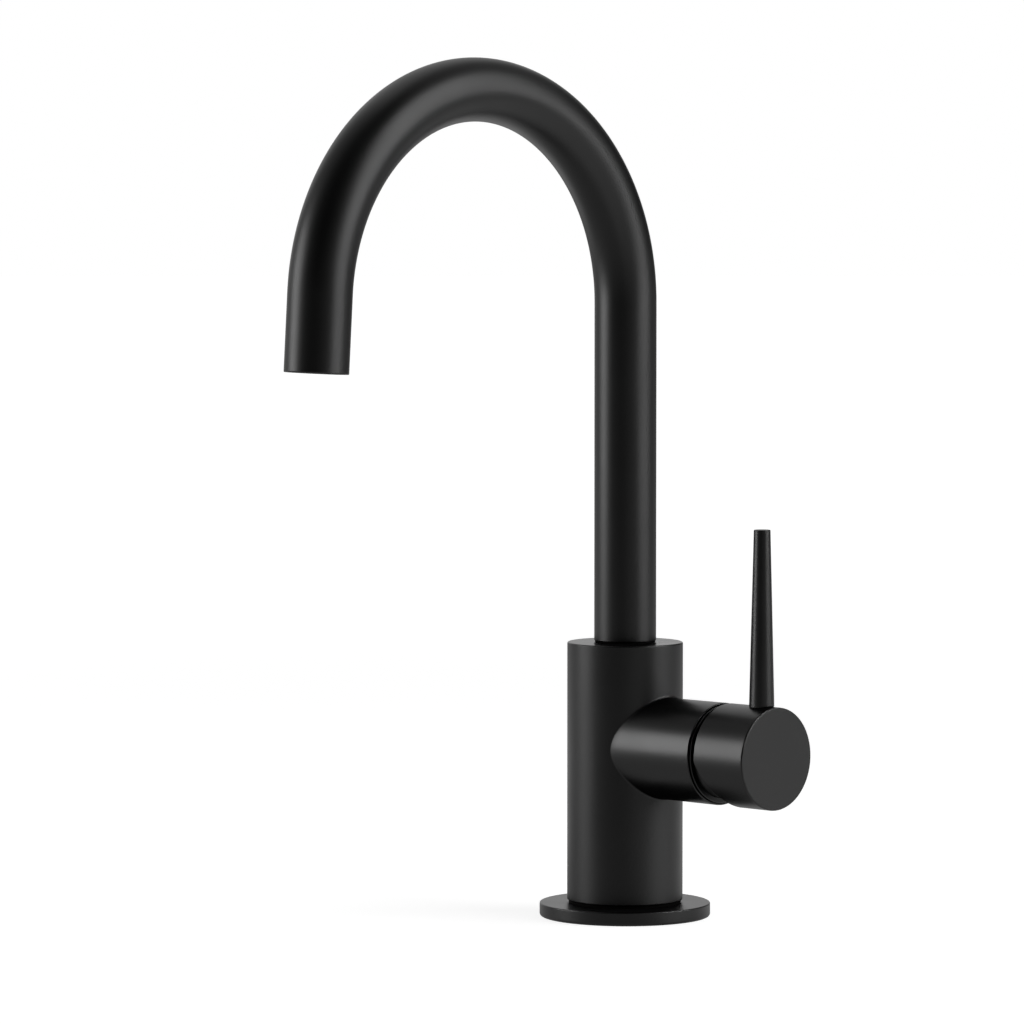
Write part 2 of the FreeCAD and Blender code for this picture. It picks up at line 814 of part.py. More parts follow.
def stem():
    """Bar from the handle to the pivot, then a neck and a ball that drives the disc."""
    end = d.cap_inside - d.stem_end_gap
    half = d.stem_thickness / 2
    blank = fuse("stem_blank",
                 ball(d.stem_ball_radius, (d.ball_x, 0, d.valve_z)),
                 on_branch(d.stem_neck_radius, d.ball_x, d.pivot_x),
                 between(d.stem_eye_radius, -half, half, "Y", (d.pivot_x, d.valve_z)),
                 box((d.pivot_x, -half, d.valve_z - d.stem_height / 2),
                     (end - d.pivot_x, d.stem_thickness, d.stem_height)))
    pin_hole = between(d.pin_radius + d.pin_clearance, -half, half, "Y", (d.pivot_x, d.valve_z))
    return cut("stem", blank, pin_hole)


# ---- nut and dome ----

def bonnet_nut():
    bore = d.sleeve_radius + d.nut_bore_clearance
    neck_end = d.nut_front + d.nut_neck_length
    return turned_on_branch("bonnet_nut", [
        (bore, d.housing_front),
        (d.thread_radius - d.nut_clearance, d.housing_front),
        (d.thread_radius - d.nut_clearance, d.nut_front),
        (d.nut_neck_radius, d.nut_front),
        (d.nut_neck_radius, neck_end),
        (bore, neck_end),
    ])


def bonnet_dome():
    """Closes the branch around the stem. Its dome is centred on the stem's pivot."""
    centre = (d.pivot_x, 0, d.valve_z)
    skirt_back = d.dome_seat - d.dome_skirt_length
    flange_front = d.dome_seat + d.dome_flange_height
    opening = (d.dome_radius * sine(d.tilt_limit) + d.stem_height / 2 * cosine(d.tilt_limit)
               + d.dome_opening_clearance)
    front = d.pivot_x + d.dome_radius
    dome = doc.addObject("Part::Common", "dome_blank")
    dome.Base = ball(d.dome_radius, centre)
    dome.Tool = on_branch(d.dome_radius, d.dome_seat, front)
    hollow = doc.addObject("Part::Common", "dome_hollow")
    hollow.Base = ball(d.dome_radius - d.dome_wall, centre)
    hollow.Tool = on_branch(d.nut_neck_radius + d.dome_thread_clearance, skirt_back, front)
    blank = fuse("dome_outside", dome,
                 on_branch(d.rim_radius - d.dome_flange_gap, d.dome_seat, flange_front),
                 on_branch(d.thread_radius - d.dome_skirt_clearance, skirt_back, d.dome_seat))
    thread = on_branch(d.nut_neck_radius + d.dome_thread_clearance, skirt_back, flange_front)
    return cut("bonnet_dome", blank, hollow, thread, on_branch(opening, d.pivot_x, front))


# ---- handle ----

def handle_cap():
    """Cap over the dome. Its lower back edge slants forward to leave room for the tilt."""
    edge = d.cap_chamfer
    shell = turned_on_branch("cap_shell", [
        (0, d.cap_inside),
        (d.cavity_radius, d.cap_inside),
        (d.cavity_radius, d.cap_back),
        (d.cap_radius - edge, d.cap_back),
        (d.cap_radius, d.cap_back + edge),
        (d.cap_radius, d.cap_front - edge),
        (d.cap_radius - edge, d.cap_front),
        (0, d.cap_front),
    ])
    height = d.cavity_radius + d.cap_wall / 2
    rib = box((d.stem_hub_back, -d.rib_half_width, d.valve_z - height),
              (d.cap_inside - d.stem_hub_back, d.rib_half_width * 2, height * 2))
    blank = fuse("cap_blank", shell, rib, on_branch(d.stem_hub_radius, d.stem_hub_back, d.cap_inside))
    play = d.stem_socket_clearance
    socket = box((d.stem_hub_back, -d.stem_thickness / 2 - play, d.valve_z - d.stem_height / 2 - play),
                 (d.cap_inside - d.stem_hub_back, d.stem_thickness + play * 2, d.stem_height + play * 2))
    lever_hole = between(d.lever_spigot_radius + d.lever_thread_clearance,
                         d.lever_seat - d.lever_spigot_length, d.crown_z, "Z", (d.lever_x, 0))
    spot_face = between(d.lever_collar_radius + d.spot_face_clearance, d.lever_seat, d.crown_z, "Z",
                        (d.lever_x, 0))
    screw_hole = between(d.set_screw_radius + d.set_screw_clearance, d.valve_z - d.cap_radius,
                         d.valve_z, "Z", (d.lever_x, 0))
    return cut("handle_cap", blank, tilt_relief(), socket, lever_hole, spot_face, screw_hole)


def tilt_relief():
    """A block whose front face is the slanted lower back edge of the cap."""
    size = d.cap_radius * 2
    corner = Vector(-number(size), -number(d.cap_radius), -number(size))
    block = doc.addObject("Part::Box", "relief_block")
    for name in ("Length", "Width", "Height"):
        setattr(block, name, number(size))
        tie(block, name, size)
    turn = Rotation(Vector(0, -1, 0), number(d.relief_angle))
    edge = Vector(number(d.cap_back), 0, number(d.valve_z - d.relief_drop))
    block.Placement = FreeCAD.Placement(edge + turn.multVec(corner), turn)
    lean = f"rotation(vector(0; -1; 0); {d.relief_angle.text})"
    edge_text = f"vector({d.cap_back.text}; 0; {(d.valve_z - d.relief_drop).text})"
    corner_text = f"vector(-{size.text}; -{d.cap_radius.text}; -{size.text})"
    block.setExpression("Placement", f"placement({edge_text}; {lean}) * placement({corner_text}; "
                                     "rotation(vector(0; 0; 1); 0))")
    return block


def lever():
    edge = d.lever_chamfer
    spigot_end = d.lever_seat - d.lever_spigot_length + d.lever_thread_clearance
    body = turned("lever", [
        (0, spigot_end),
        (d.lever_spigot_radius, spigot_end),
        (d.lever_spigot_radius, d.lever_seat),
        (d.lever_collar_radius, d.lever_seat),
        (d.lever_collar_radius, d.lever_shoulder),
        (d.lever_base_radius - edge, d.lever_shoulder),
        (d.lever_base_radius, d.lever_shoulder + edge),
        (d.lever_tip_radius, d.lever_tip - edge),
        (d.lever_tip_radius - edge, d.lever_tip),
        (0, d.lever_tip),
    ])
    put(body, (d.lever_x, 0, 0))
    return body


def handle_set_screw():
    top = d.valve_z - d.stem_height / 2
    screw = between(d.set_screw_radius, top - d.set_screw_length, top, "Z", (d.lever_x, 0))
    screw.Label = "handle_set_screw"
    return screw


# ---- swivel joint of the spout ----

def spout_bush():
    """Split bush on which the spout turns. Its flange shows as the gap under the tube."""
    bore = d.hub_waist_radius + d.running_clearance
    sleeve = d.socket_radius - d.bush_press_clearance
    flange = d.socket_radius + d.bush_flange_step
    ring = turned("bush_ring", [
        (bore, d.bush_bottom),
        (sleeve, d.bush_bottom),
        (sleeve, d.body_top),
        (flange, d.body_top),
        (flange, d.tube_end),
        (bore, d.tube_end),
    ])
    return cut("spout_bush", ring, slit(flange, d.bush_slit, d.bush_bottom, d.tube_end))


def retaining_clip():
    top = d.clip_bottom + d.clip_thickness
    inner = d.hub_radius - d.clip_hub_groove_depth + d.clip_inner_clearance
    ring = turned("clip_ring", tube_corners(inner, d.clip_groove_radius, d.clip_bottom, top))
    return cut("retaining_clip", ring, slit(d.clip_groove_radius, d.clip_slit, d.clip_bottom, top))


def spout_hub():
    land = d.hub_radius
    clip_floor = land - d.clip_hub_groove_depth
    ring_floor = d.socket_radius - d.ring_groove_depth - d.hub_clearance
    glide_floor = d.socket_radius - d.glide_groove_depth - d.hub_clearance
    spigot = d.tube_bore - d.braze_gap
    waist_bottom = d.bush_bottom - d.running_clearance
    top = d.tube_end + d.hub_spigot_length
    corners = [(d.hub_bore_radius, d.hub_bottom), (land, d.hub_bottom)]
    grooves = [
        (glide_floor, d.glide_bottom, d.glide_top),
        (ring_floor, d.lower_ring_bottom, d.lower_ring_top),
        (ring_floor, d.upper_ring_bottom, d.upper_ring_top),
        (clip_floor, d.clip_groove_bottom, d.clip_groove_top),
    ]
    for floor, low, high in grooves:
        corners += [(land, low), (floor, low), (floor, high), (land, high)]
    corners += [
        (land, waist_bottom),
        (d.hub_waist_radius, waist_bottom),
        (d.hub_waist_radius, d.tube_end),
        (spigot, d.tube_end),
        (spigot, top),
        (d.hub_bore_radius, top),
    ]
    return turned("spout_hub", corners)


def o_ring(low, high):
    inner = d.socket_radius - d.ring_groove_depth - d.hub_clearance
    ring = doc.addObject("Part::Torus", "Ring")
    middle = (d.socket_radius + inner) / 2
    section = (d.socket_radius - inner) / 2 - d.ring_clearance
    ring.Radius1 = number(middle)
    ring.Radius2 = number(section)
    tie(ring, "Radius1", middle)
    tie(ring, "Radius2", section)
    put(ring, (0, 0, (low + high) / 2))
    return ring


def hub_o_rings():
    return group("hub_o_rings", o_ring(d.lower_ring_bottom, d.lower_ring_top),
                 o_ring(d.upper_ring_bottom, d.upper_ring_top))


def glide_ring():
    floor = d.socket_radius - d.glide_groove_depth - d.hub_clearance
    inner = floor + d.glide_clearance
    outer = d.socket_radius - d.glide_clearance
    bottom = d.glide_bottom + d.glide_clearance
    top = d.glide_top - d.glide_clearance
    ring = turned("glide_blank", tube_corners(inner, outer, bottom, top))
    return cut("glide_ring", ring, slit(outer, d.glide_slit, bottom, top))


# ---- spout ----

def neck_path(body):
    """Centre line of the tube: straight up, over in one arc and straight down."""
    path = new_sketch(body, "Path", "YZ_Plane")
    start = Vector(0, number(d.tube_end), 0)
    bend = Vector(0, number(d.bend_start), 0)
    centre = Vector(-number(d.bend_radius), number(d.bend_start), 0)
    turn = math.radians(number(d.bend_angle))
    arc = Part.ArcOfCircle(Part.Circle(centre, Vector(0, 0, 1), number(d.bend_radius)), 0, turn)
    heading = Vector(-math.sin(turn), math.cos(turn), 0)
    path.addGeometry(Part.LineSegment(start, bend), False)
    path.addGeometry(arc, False)
    path.addGeometry(Part.LineSegment(arc.EndPoint, arc.EndPoint + heading * number(d.drop_length)), False)
    riser, neck, drop = range(3)
    path.addConstraint(Sketcher.Constraint("PointOnObject", riser, 1, -2))
    path.addConstraint(Sketcher.Constraint("Vertical", riser))
    hold(path, "DistanceY", (riser, 1), d.tube_end)
    path.addConstraint(Sketcher.Constraint("Tangent", riser, 2, neck, 1))
    path.addConstraint(Sketcher.Constraint("Tangent", neck, 2, drop, 1))
    for kind, edge, size in (("Distance", riser, d.riser_length), ("Radius", neck, d.bend_radius),
                             ("Distance", drop, d.drop_length)):
        constraint = path.addConstraint(Sketcher.Constraint(kind, edge, number(size)))
        tie(path, f"Constraints[{constraint}]", size)
    constraint = path.addConstraint(Sketcher.Constraint("Angle", neck, turn))
    path.setExpression(f"Constraints[{constraint}]", f"{d.bend_angle.text} * 1 deg")
    return path


def spout_tube():
    body = new_body("spout_tube")
    path = neck_path(body)
    section = new_sketch(body, "Section", "XY_Plane")
    section.AttachmentOffset = FreeCAD.Placement(Vector(0, 0, number(d.tube_end)), Rotation())
    section.setExpression(".AttachmentOffset.Base.z", d.tube_end.text)
    circle(section, d.tube_radius)
    circle(section, d.tube_bore)
    doc.recompute()
    pipe = body.newObject("PartDesign::AdditivePipe", "Pipe")
    pipe.Profile = section
    pipe.Spine = (path, ["Edge1", "Edge2", "Edge3"])
    outlet = Vector(0, number(d.outlet_y), number(d.outlet_z))
    round_edges(body, "OutletRound", d.outlet_round, d.tube_radius, outlet)
    return body


# ---- outlet ----

def at_outlet(thing):
    """Moves a piece made from z = 0 upward into the end of the spout."""
    thing.Placement = FreeCAD.Placement(Vector(0, number(d.outlet_y), number(d.outlet_z)),
                                        Rotation(Vector(-1, 0, 0), number(d.outlet_lean)))
    lean = f"rotation(vector(-1; 0; 0); {d.outlet_lean.text})"
    thing.setExpression("Placement", f"placement(vector(0; {d.outlet_y.text}; {d.outlet_z.text}); {lean})")
    return thing


def outlet_bush():
    outer = d.tube_bore - d.braze_gap
    shoulder = outer - d.outlet_shoulder_wall
    return at_outlet(turned("outlet_bush", [
        (d.outlet_thread_radius, d.outlet_bush_recess),
        (outer, d.outlet_bush_recess),
        (outer, d.outlet_bush_top),
        (shoulder, d.outlet_bush_top),
        (shoulder, d.outlet_shoulder),
        (d.outlet_thread_radius, d.outlet_shoulder),
    ]))


def aerator_housing():
    bore = d.aerator_radius - d.aerator_wall
    lip = bore - d.aerator_lip
    return at_outlet(turned("aerator_housing", [
        (lip, d.aerator_recess),
        (d.aerator_radius, d.aerator_recess),
        (d.aerator_radius, d.aerator_top),
        (bore, d.aerator_top),
        (bore, d.core_bottom),
        (lip, d.core_bottom),
    ]))


def perforated_disc(label, bottom, thickness, hole_radius):
    """A disc with one hole in the middle and two rings of holes around it."""
    body = new_body(label)
    blank = new_sketch(body, "Rim", "XY_Plane")
    blank.AttachmentOffset = FreeCAD.Placement(Vector(0, 0, number(bottom)), Rotation())
    blank.setExpression(".AttachmentOffset.Base.z", bottom.text)
    circle(blank, d.core_radius)
    circle(blank, hole_radius)
    plate = body.newObject("PartDesign::Pad", "Plate")
    plate.Profile = blank
    plate.Length = number(thickness)
    tie(plate, "Length", thickness)
    for ring_radius, count in ((d.inner_ring_radius, INNER_RING_HOLES),
                               (d.outer_ring_radius, OUTER_RING_HOLES)):
        spot = new_sketch(body, "Spot", "XY_Plane")
        circle(spot, hole_radius, ring_radius, 0)
        drilling = body.newObject("PartDesign::Pocket", "Drilling")
        drilling.Profile = spot
        drilling.Type = "ThroughAll"
        drilling.Midplane = True
        doc.recompute()
        pattern = body.newObject("PartDesign::PolarPattern", "HoleRing")
        pattern.Originals = [drilling]
        pattern.Axis = (blank, ["N_Axis"])
        pattern.Angle = FULL_TURN
        pattern.Occurrences = count
        body.Tip = pattern
    return at_outlet(body)


def aerator_core():
    return perforated_disc("aerator_core", d.core_bottom, d.core_height, d.core_hole_radius)


def aerator_screen():
    return perforated_disc("aerator_screen", d.core_top, d.screen_thickness, d.screen_hole_radius)


def aerator_washer():
    outer = d.aerator_radius
    return at_outlet(turned("aerator_washer", tube_corners(d.washer_inner_radius, outer,
                                                           d.aerator_top, d.outlet_shoulder)))


SUB_PARTS = [
    base_flange, base_gasket, inlet_manifold, manifold_seals, manifold_screws, faucet_body,
    cartridge_base, port_seals, fixed_disc, moving_disc, disc_carrier, cartridge_housing, stem_guide,
    pivot_pin, stem, bonnet_nut, bonnet_dome, handle_cap, lever, handle_set_screw,
    spout_bush, retaining_clip, spout_hub, hub_o_rings, glide_ring, spout_tube,
    outlet_bush, aerator_housing, aerator_core, aerator_screen, aerator_washer,
]


def check(pieces):
    """Stops if a feature failed or a sub-part has no sound shape."""
    for thing in doc.Objects:
        if {"Invalid", "Error"} & set(thing.State):
            raise RuntimeError(f"{thing.Label} failed: {thing.State}")
    for piece in pieces:
        shape = piece.Shape
        if shape.isNull() or not shape.isValid() or not shape.Solids or shape.Volume <= 0:
            raise RuntimeError(f"{piece.Label} has no sound shape")


def main():
    pieces = [make() for make in SUB_PARTS]
    doc.recompute()
    check(pieces)
    os.makedirs("parts", exist_ok=True)
    for piece in pieces:
        piece.Shape.exportStep(f"parts/{piece.Label}.step")
        print(piece.Label, len(piece.Shape.Solids), round(piece.Shape.Volume, 1))


main()
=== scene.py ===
import bpy
import bmesh
import json
import math
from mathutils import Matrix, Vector


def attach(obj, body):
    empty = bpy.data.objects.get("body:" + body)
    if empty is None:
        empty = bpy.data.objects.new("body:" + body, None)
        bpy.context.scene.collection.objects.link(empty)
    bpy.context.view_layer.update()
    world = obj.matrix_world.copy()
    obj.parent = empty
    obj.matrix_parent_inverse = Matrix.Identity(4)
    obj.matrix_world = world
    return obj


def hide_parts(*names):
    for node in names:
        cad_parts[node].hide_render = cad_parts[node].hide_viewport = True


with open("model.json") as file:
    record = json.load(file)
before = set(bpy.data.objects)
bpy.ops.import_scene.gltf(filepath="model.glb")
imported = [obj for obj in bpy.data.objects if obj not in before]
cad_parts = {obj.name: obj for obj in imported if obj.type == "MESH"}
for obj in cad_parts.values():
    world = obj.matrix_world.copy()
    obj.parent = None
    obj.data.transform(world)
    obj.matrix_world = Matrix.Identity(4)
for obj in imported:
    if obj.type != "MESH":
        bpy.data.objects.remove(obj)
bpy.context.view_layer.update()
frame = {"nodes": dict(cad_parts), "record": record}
mm = 0.001
print("frame loaded:", len(frame["nodes"]), "nodes")

# camera

cameraPlace = {
    "location": (1.29408, -1.35617, 0.25294),
    "tiltDown": 3.289,
    "heading": 44.898,
    "lens": 184.313,
    "sensorWidth": 36.0,
    "clipStart": 0.05,
    "clipEnd": 20.0,
}


def addCamera(place):
    data = bpy.data.cameras.new("camera")
    data.lens = place["lens"]
    data.sensor_width = place["sensorWidth"]
    data.clip_start = place["clipStart"]
    data.clip_end = place["clipEnd"]
    camera = bpy.data.objects.new("camera", data)
    camera.location = place["location"]
    camera.rotation_euler = (math.radians(90 - place["tiltDown"]), 0, math.radians(place["heading"]))
    bpy.context.scene.collection.objects.link(camera)
    bpy.context.scene.camera = camera


# node helpers, for materials, the world and geometry

def addNode(tree, kind, settings=None, **inputs):
    node = tree.nodes.new(kind)
    for name, value in (settings or {}).items():
        setattr(node, name, value)
    for name, value in inputs.items():
        plugIn(tree, node, name, value)
    return node


def plugIn(tree, node, name, value):
    if name.startswith("at"):
        socket = node.inputs[int(name[2:])]
    else:
        named = [s for s in node.inputs if s.enabled and s.name.replace(" ", "").lower() == name.lower()]
        socket = named[0]
    if isinstance(value, bpy.types.NodeSocket):
        tree.links.new(value, socket)
    else:
        socket.default_value = value


def compute(tree, operation, *values):
    inputs = {f"at{place}": value for place, value in enumerate(values)}
    return addNode(tree, "ShaderNodeMath", {"operation": operation}, **inputs).outputs[0]


def ramp(tree, value, start, end, low, high):
    return addNode(tree, "ShaderNodeMapRange", {"interpolation_type": "SMOOTHSTEP"}, Value=value,
                   FromMin=start, FromMax=end, ToMin=low, ToMax=high).outputs["Result"]


def dot(tree, vector, direction):
    return addNode(tree, "ShaderNodeVectorMath", {"operation": "DOT_PRODUCT"}, at0=vector,
                   at1=direction).outputs["Value"]


def length(tree, vector):
    return addNode(tree, "ShaderNodeVectorMath", {"operation": "LENGTH"}, at0=vector).outputs["Value"]


def levelPart(tree, vector):
    return addNode(tree, "ShaderNodeVectorMath", {"operation": "MULTIPLY"}, at0=vector,
                   at1=(1, 1, 0)).outputs[0]


def heightOf(tree, vector):
    return addNode(tree, "ShaderNodeSeparateXYZ", Vector=vector).outputs["Z"]


# lights

firstMeeting = 1.5  # a ray's depth is below this where it first meets a surface

softBoxes = {
    # centre, aimed at, width, height, radiance
    "leftBox": ((-1.03, -1.09, 0.41), (0.0, 0.0, 0.12), 0.80, 0.84, 4.8),
    "rightBox": ((1.337, 0.681, 0.85), (0.0, 0.0, 0.20), 1.36, 1.68, 3.1),
}

surround = {
    "ambient": 0.12,  # on matt surfaces; the rest is seen in gloss only
    "front": 0.01,
    "above": 0.25,
    "back": 0.75,
    "backHeading": (-0.848, 0.530, 0),
    "backFrom": 0.70,  # how nearly a direction heads for the back
    "backTo": 0.95,
    "aboveFrom": 0.35,  # how high a direction points
    "aboveTo": 0.60,
    "aboveFront": -0.35,
    "aboveBack": 0.35,
}


def addSoftBox(name, centre, target, width, height, radiance):
    data = bpy.data.lights.new(name, "AREA")
    data.shape = "RECTANGLE"
    data.size = width
    data.size_y = height
    data.energy = radiance * width * height * math.pi
    # a box lights what is seen directly, so one black part stays black in another's gloss
    data.cycles.use_multiple_importance_sampling = False
    data.use_nodes = True
    tree = data.node_tree
    tree.nodes.clear()
    depth = addNode(tree, "ShaderNodeLightPath").outputs["Ray Depth"]
    glow = addNode(tree, "ShaderNodeEmission", Strength=compute(tree, "LESS_THAN", depth, firstMeeting))
    addNode(tree, "ShaderNodeOutputLight", Surface=glow.outputs[0])
    lamp = bpy.data.objects.new(name, data)
    lamp.location = centre
    aim = Vector(target) - Vector(centre)
    lamp.rotation_euler = aim.to_track_quat("-Z", "Y").to_euler()
    lamp.visible_camera = False
    bpy.context.scene.collection.objects.link(lamp)


def addWorld(look):
    world = bpy.data.worlds.new("studio")
    bpy.context.scene.world = world
    world.use_nodes = True
    tree = world.node_tree
    tree.nodes.clear()
    path = addNode(tree, "ShaderNodeLightPath").outputs
    direction = addNode(tree, "ShaderNodeTexCoord").outputs["Generated"]
    heading = addNode(tree, "ShaderNodeVectorMath", {"operation": "NORMALIZE"}, at0=levelPart(tree, direction))
    backness = dot(tree, heading.outputs[0], look["backHeading"])
    # the light from above doesn't come from over the camera
    high = ramp(tree, heightOf(tree, direction), look["aboveFrom"], look["aboveTo"], 0.0, 1.0)
    aside = ramp(tree, backness, look["aboveFront"], look["aboveBack"], 0.0, 1.0)
    over = compute(tree, "MULTIPLY_ADD", compute(tree, "MULTIPLY", high, aside),
                   look["above"] - look["front"], look["front"])
    behind = ramp(tree, backness, look["backFrom"], look["backTo"], 0.0, look["back"])
    once = compute(tree, "LESS_THAN", path["Glossy Depth"], firstMeeting)
    studio = compute(tree, "MULTIPLY", compute(tree, "MAXIMUM", over, behind), once)
    change = compute(tree, "SUBTRACT", studio, look["ambient"])
    lit = compute(tree, "MULTIPLY_ADD", path["Is Glossy Ray"], change, look["ambient"])
    strength = compute(tree, "MAXIMUM", lit, path["Is Camera Ray"])
    background = addNode(tree, "ShaderNodeBackground", Color=(1, 1, 1, 1), Strength=strength)
    addNode(tree, "ShaderNodeOutputWorld", Surface=background.outputs[0])


floorLook = {
    "size": 30.0,
    "colour": (0.5, 0.5, 0.5, 1),
    "lift": 0.82,  # glow that brings the floor to white near the part
    "farLift": 1.0,
    "farFrom": 0.6,
    "farTo": 2.4,
    "mirrorNear": 0.42,  # how bright the floor looks in gloss
    "mirrorRight": 0.85,
    "rightHeading": (0.7071, 0.7071, 0),
    "rightFrom": 0.0,  # metres from the part's middle, as for the rest
    "rightTo": 0.10,
    "backHeading": (-0.7071, 0.7071, 0),
    "backFrom": 0.02,
    "backTo": 0.30,
    "mirrorFar": 0.28,
    "mirrorFarFrom": 0.4,
    "mirrorFarTo": 1.2,
}


def addFloor(look):
    half = look["size"] / 2
    corners = [(-half, -half, 0), (half, -half, 0), (half, half, 0), (-half, half, 0)]
    mesh = bpy.data.meshes.new("floor")
    mesh.from_pydata(corners, [], [(0, 1, 2, 3)])
    floor = bpy.data.objects.new("floor", mesh)
    bpy.context.scene.collection.objects.link(floor)
    material = bpy.data.materials.new("studioFloor")
    material.use_nodes = True
    tree = material.node_tree
    tree.nodes.clear()
    path = addNode(tree, "ShaderNodeLightPath").outputs
    matt = addNode(tree, "ShaderNodeBsdfDiffuse", Color=look["colour"]).outputs[0]
    spot = addNode(tree, "ShaderNodeNewGeometry").outputs["Position"]
    away = length(tree, spot)
    # gloss sees the floor as grey in front, lighter to the right, white behind and greyer again far off
    toRight = ramp(tree, dot(tree, spot, look["rightHeading"]), look["rightFrom"], look["rightTo"],
                   look["mirrorNear"], look["mirrorRight"])
    toBack = ramp(tree, dot(tree, spot, look["backHeading"]), look["backFrom"], look["backTo"], 0.0, 1.0)
    near = compute(tree, "MAXIMUM", toRight, toBack)
    fade = ramp(tree, away, look["mirrorFarFrom"], look["mirrorFarTo"], 1.0, look["mirrorFar"])
    gloss = compute(tree, "MULTIPLY", near, fade)
    once = compute(tree, "LESS_THAN", path["Glossy Depth"], firstMeeting)
    shown = compute(tree, "MULTIPLY", compute(tree, "MULTIPLY", path["Is Glossy Ray"], gloss), once)
    seen = compute(tree, "MAXIMUM", path["Is Camera Ray"], shown)
    # far off, where the boxes hardly reach, the floor is lifted to the white of the background
    rise = ramp(tree, away, look["farFrom"], look["farTo"], look["lift"], look["farLift"])
    lift = addNode(tree, "ShaderNodeEmission", Strength=compute(tree, "MULTIPLY", seen, rise)).outputs[0]
    both = addNode(tree, "ShaderNodeAddShader", at0=matt, at1=lift).outputs[0]
    addNode(tree, "ShaderNodeOutputMaterial", Surface=both)
    mesh.materials.append(material)


bpy.context.scene.view_settings.view_transform = "Standard"
addCamera(cameraPlace)
for boxName, settings in softBoxes.items():
    addSoftBox(boxName, *settings)
addWorld(surround)
addFloor(floorLook)
print("camera, lights and floor ready")

# materials

finishLooks = {
    # two colours, roughness from and to, metallic, and the grain's scale, depth and strength
    # painted shade: a dull black with almost no gloss, put on surfaces that sit in shade so they render as dark
    # as the shade there
    "paintedShadeBlack": ((0.0015, 0.0015, 0.0015), (0.0025, 0.0025, 0.0025), 0.80, 0.90, 0.0, 2600, 0.00002, 0.20),
    "flangeCoat": ((0.0006, 0.0006, 0.00065), (0.0018, 0.0018, 0.0019), 0.32, 0.36, 0.0, 2600, 0.00004, 0.30),
    "powderCoat": ((0.0006, 0.0006, 0.00065), (0.0018, 0.0018, 0.0019), 0.38, 0.44, 0.0, 2600, 0.00004, 0.35),
    "neckCoat": ((0.0004, 0.0004, 0.00045), (0.0012, 0.0012, 0.0013), 0.37, 0.42, 0.0, 2600, 0.00004, 0.30),
    "satinBlack": ((0.0006, 0.0006, 0.00065), (0.0016, 0.0016, 0.0017), 0.33, 0.38, 0.0, 4200, 0.00002, 0.10),
    "acetal": ((0.040, 0.040, 0.043), (0.060, 0.060, 0.064), 0.42, 0.55, 0.0, 1500, 0.00002, 0.15),
    "whitePlastic": ((0.70, 0.70, 0.66), (0.78, 0.78, 0.75), 0.38, 0.48, 0.0, 1200, 0.00002, 0.10),
    "ceramic": ((0.82, 0.82, 0.79), (0.87, 0.87, 0.85), 0.12, 0.20, 0.0, 900, 0.00001, 0.05),
    "sealRubber": ((0.018, 0.018, 0.018), (0.034, 0.034, 0.034), 0.62, 0.78, 0.0, 1800, 0.00003, 0.25),
    "machinedBrass": ((0.66, 0.46, 0.18), (0.78, 0.58, 0.27), 0.22, 0.38, 1.0, 1600, 0.00002, 0.15),
    "plainSteel": ((0.50, 0.51, 0.52), (0.62, 0.63, 0.64), 0.24, 0.36, 1.0, 1600, 0.00002, 0.15),
}

glossLevel = {"paintedShadeBlack": 0.06}
plainGloss = 0.5

noiseLook = {
    "cloudScale": 45.0,
    "cloudDetail": 3.0,
    "speckDetail": 2.0,
    "rangeFrom": 0.3,  # the part of the noise's range that is used
    "rangeTo": 0.7,
}


def spread(tree, value, low, high):
    return addNode(tree, "ShaderNodeMapRange", Value=value, FromMin=noiseLook["rangeFrom"],
                   FromMax=noiseLook["rangeTo"], ToMin=low, ToMax=high).outputs["Result"]


def noise(tree, place, scale, detail):
    return addNode(tree, "ShaderNodeTexNoise", Vector=place, Scale=scale, Detail=detail).outputs[0]


smoothFinish = {
    "branchFrom": 0.0209,  # metres from the body's axis
    "branchTo": 0.0222,
    "branchRoughness": 0.82,
    "topFrom": 0.0983,  # metres above the deck
    "topTo": 0.0986,
    "topRoughness": 0.69,
}


def smootherTurning(tree, place, rough, look):
    # the branch, past the hub's own radius, and the hub's top face are turned smoother than its wall
    radius = length(tree, levelPart(tree, place))
    onBranch = ramp(tree, radius, look["branchFrom"], look["branchTo"], 1.0, look["branchRoughness"])
    onTop = ramp(tree, heightOf(tree, place), look["topFrom"], look["topTo"], 1.0, look["topRoughness"])
    return compute(tree, "MULTIPLY", compute(tree, "MULTIPLY", rough, onBranch), onTop)


def makeFinish(name):
    dark, light, roughLow, roughHigh, metallic, grain, depth, strength = finishLooks[name]
    material = bpy.data.materials.new(name)
    material.use_nodes = True
    tree = material.node_tree
    tree.nodes.clear()
    place = addNode(tree, "ShaderNodeTexCoord").outputs["Object"]
    cloud = noise(tree, place, noiseLook["cloudScale"], noiseLook["cloudDetail"])
    speck = noise(tree, place, grain, noiseLook["speckDetail"])
    # on a colour mix, input 0 is the share, 6 and 7 are the colours, and output 2 is the result
    colour = addNode(tree, "ShaderNodeMix", {"data_type": "RGBA"}, at0=spread(tree, speck, 0.0, 1.0),
                     at6=(*dark, 1), at7=(*light, 1)).outputs[2]
    rough = spread(tree, cloud, roughLow, roughHigh)
    if name == "powderCoat":
        rough = smootherTurning(tree, place, rough, smoothFinish)
    bump = addNode(tree, "ShaderNodeBump", Strength=strength, Distance=depth, Height=speck)
    shader = addNode(tree, "ShaderNodeBsdfPrincipled", BaseColor=colour, Roughness=rough, Metallic=metallic,
                     SpecularIORLevel=glossLevel.get(name, plainGloss), Normal=bump.outputs[0])
    addNode(tree, "ShaderNodeOutputMaterial", Surface=shader.outputs[0])
    return material


finishes = {name: makeFinish(name) for name in finishLooks}

slotFinish = {
    "black_finish": "powderCoat",
    "satin_black": "satinBlack",
    "brass": "machinedBrass",
    "steel": "plainSteel",
    "acetal": "acetal",
    "white_plastic": "whitePlastic",
    "ceramic": "ceramic",
    "seal_rubber": "sealRubber",
}

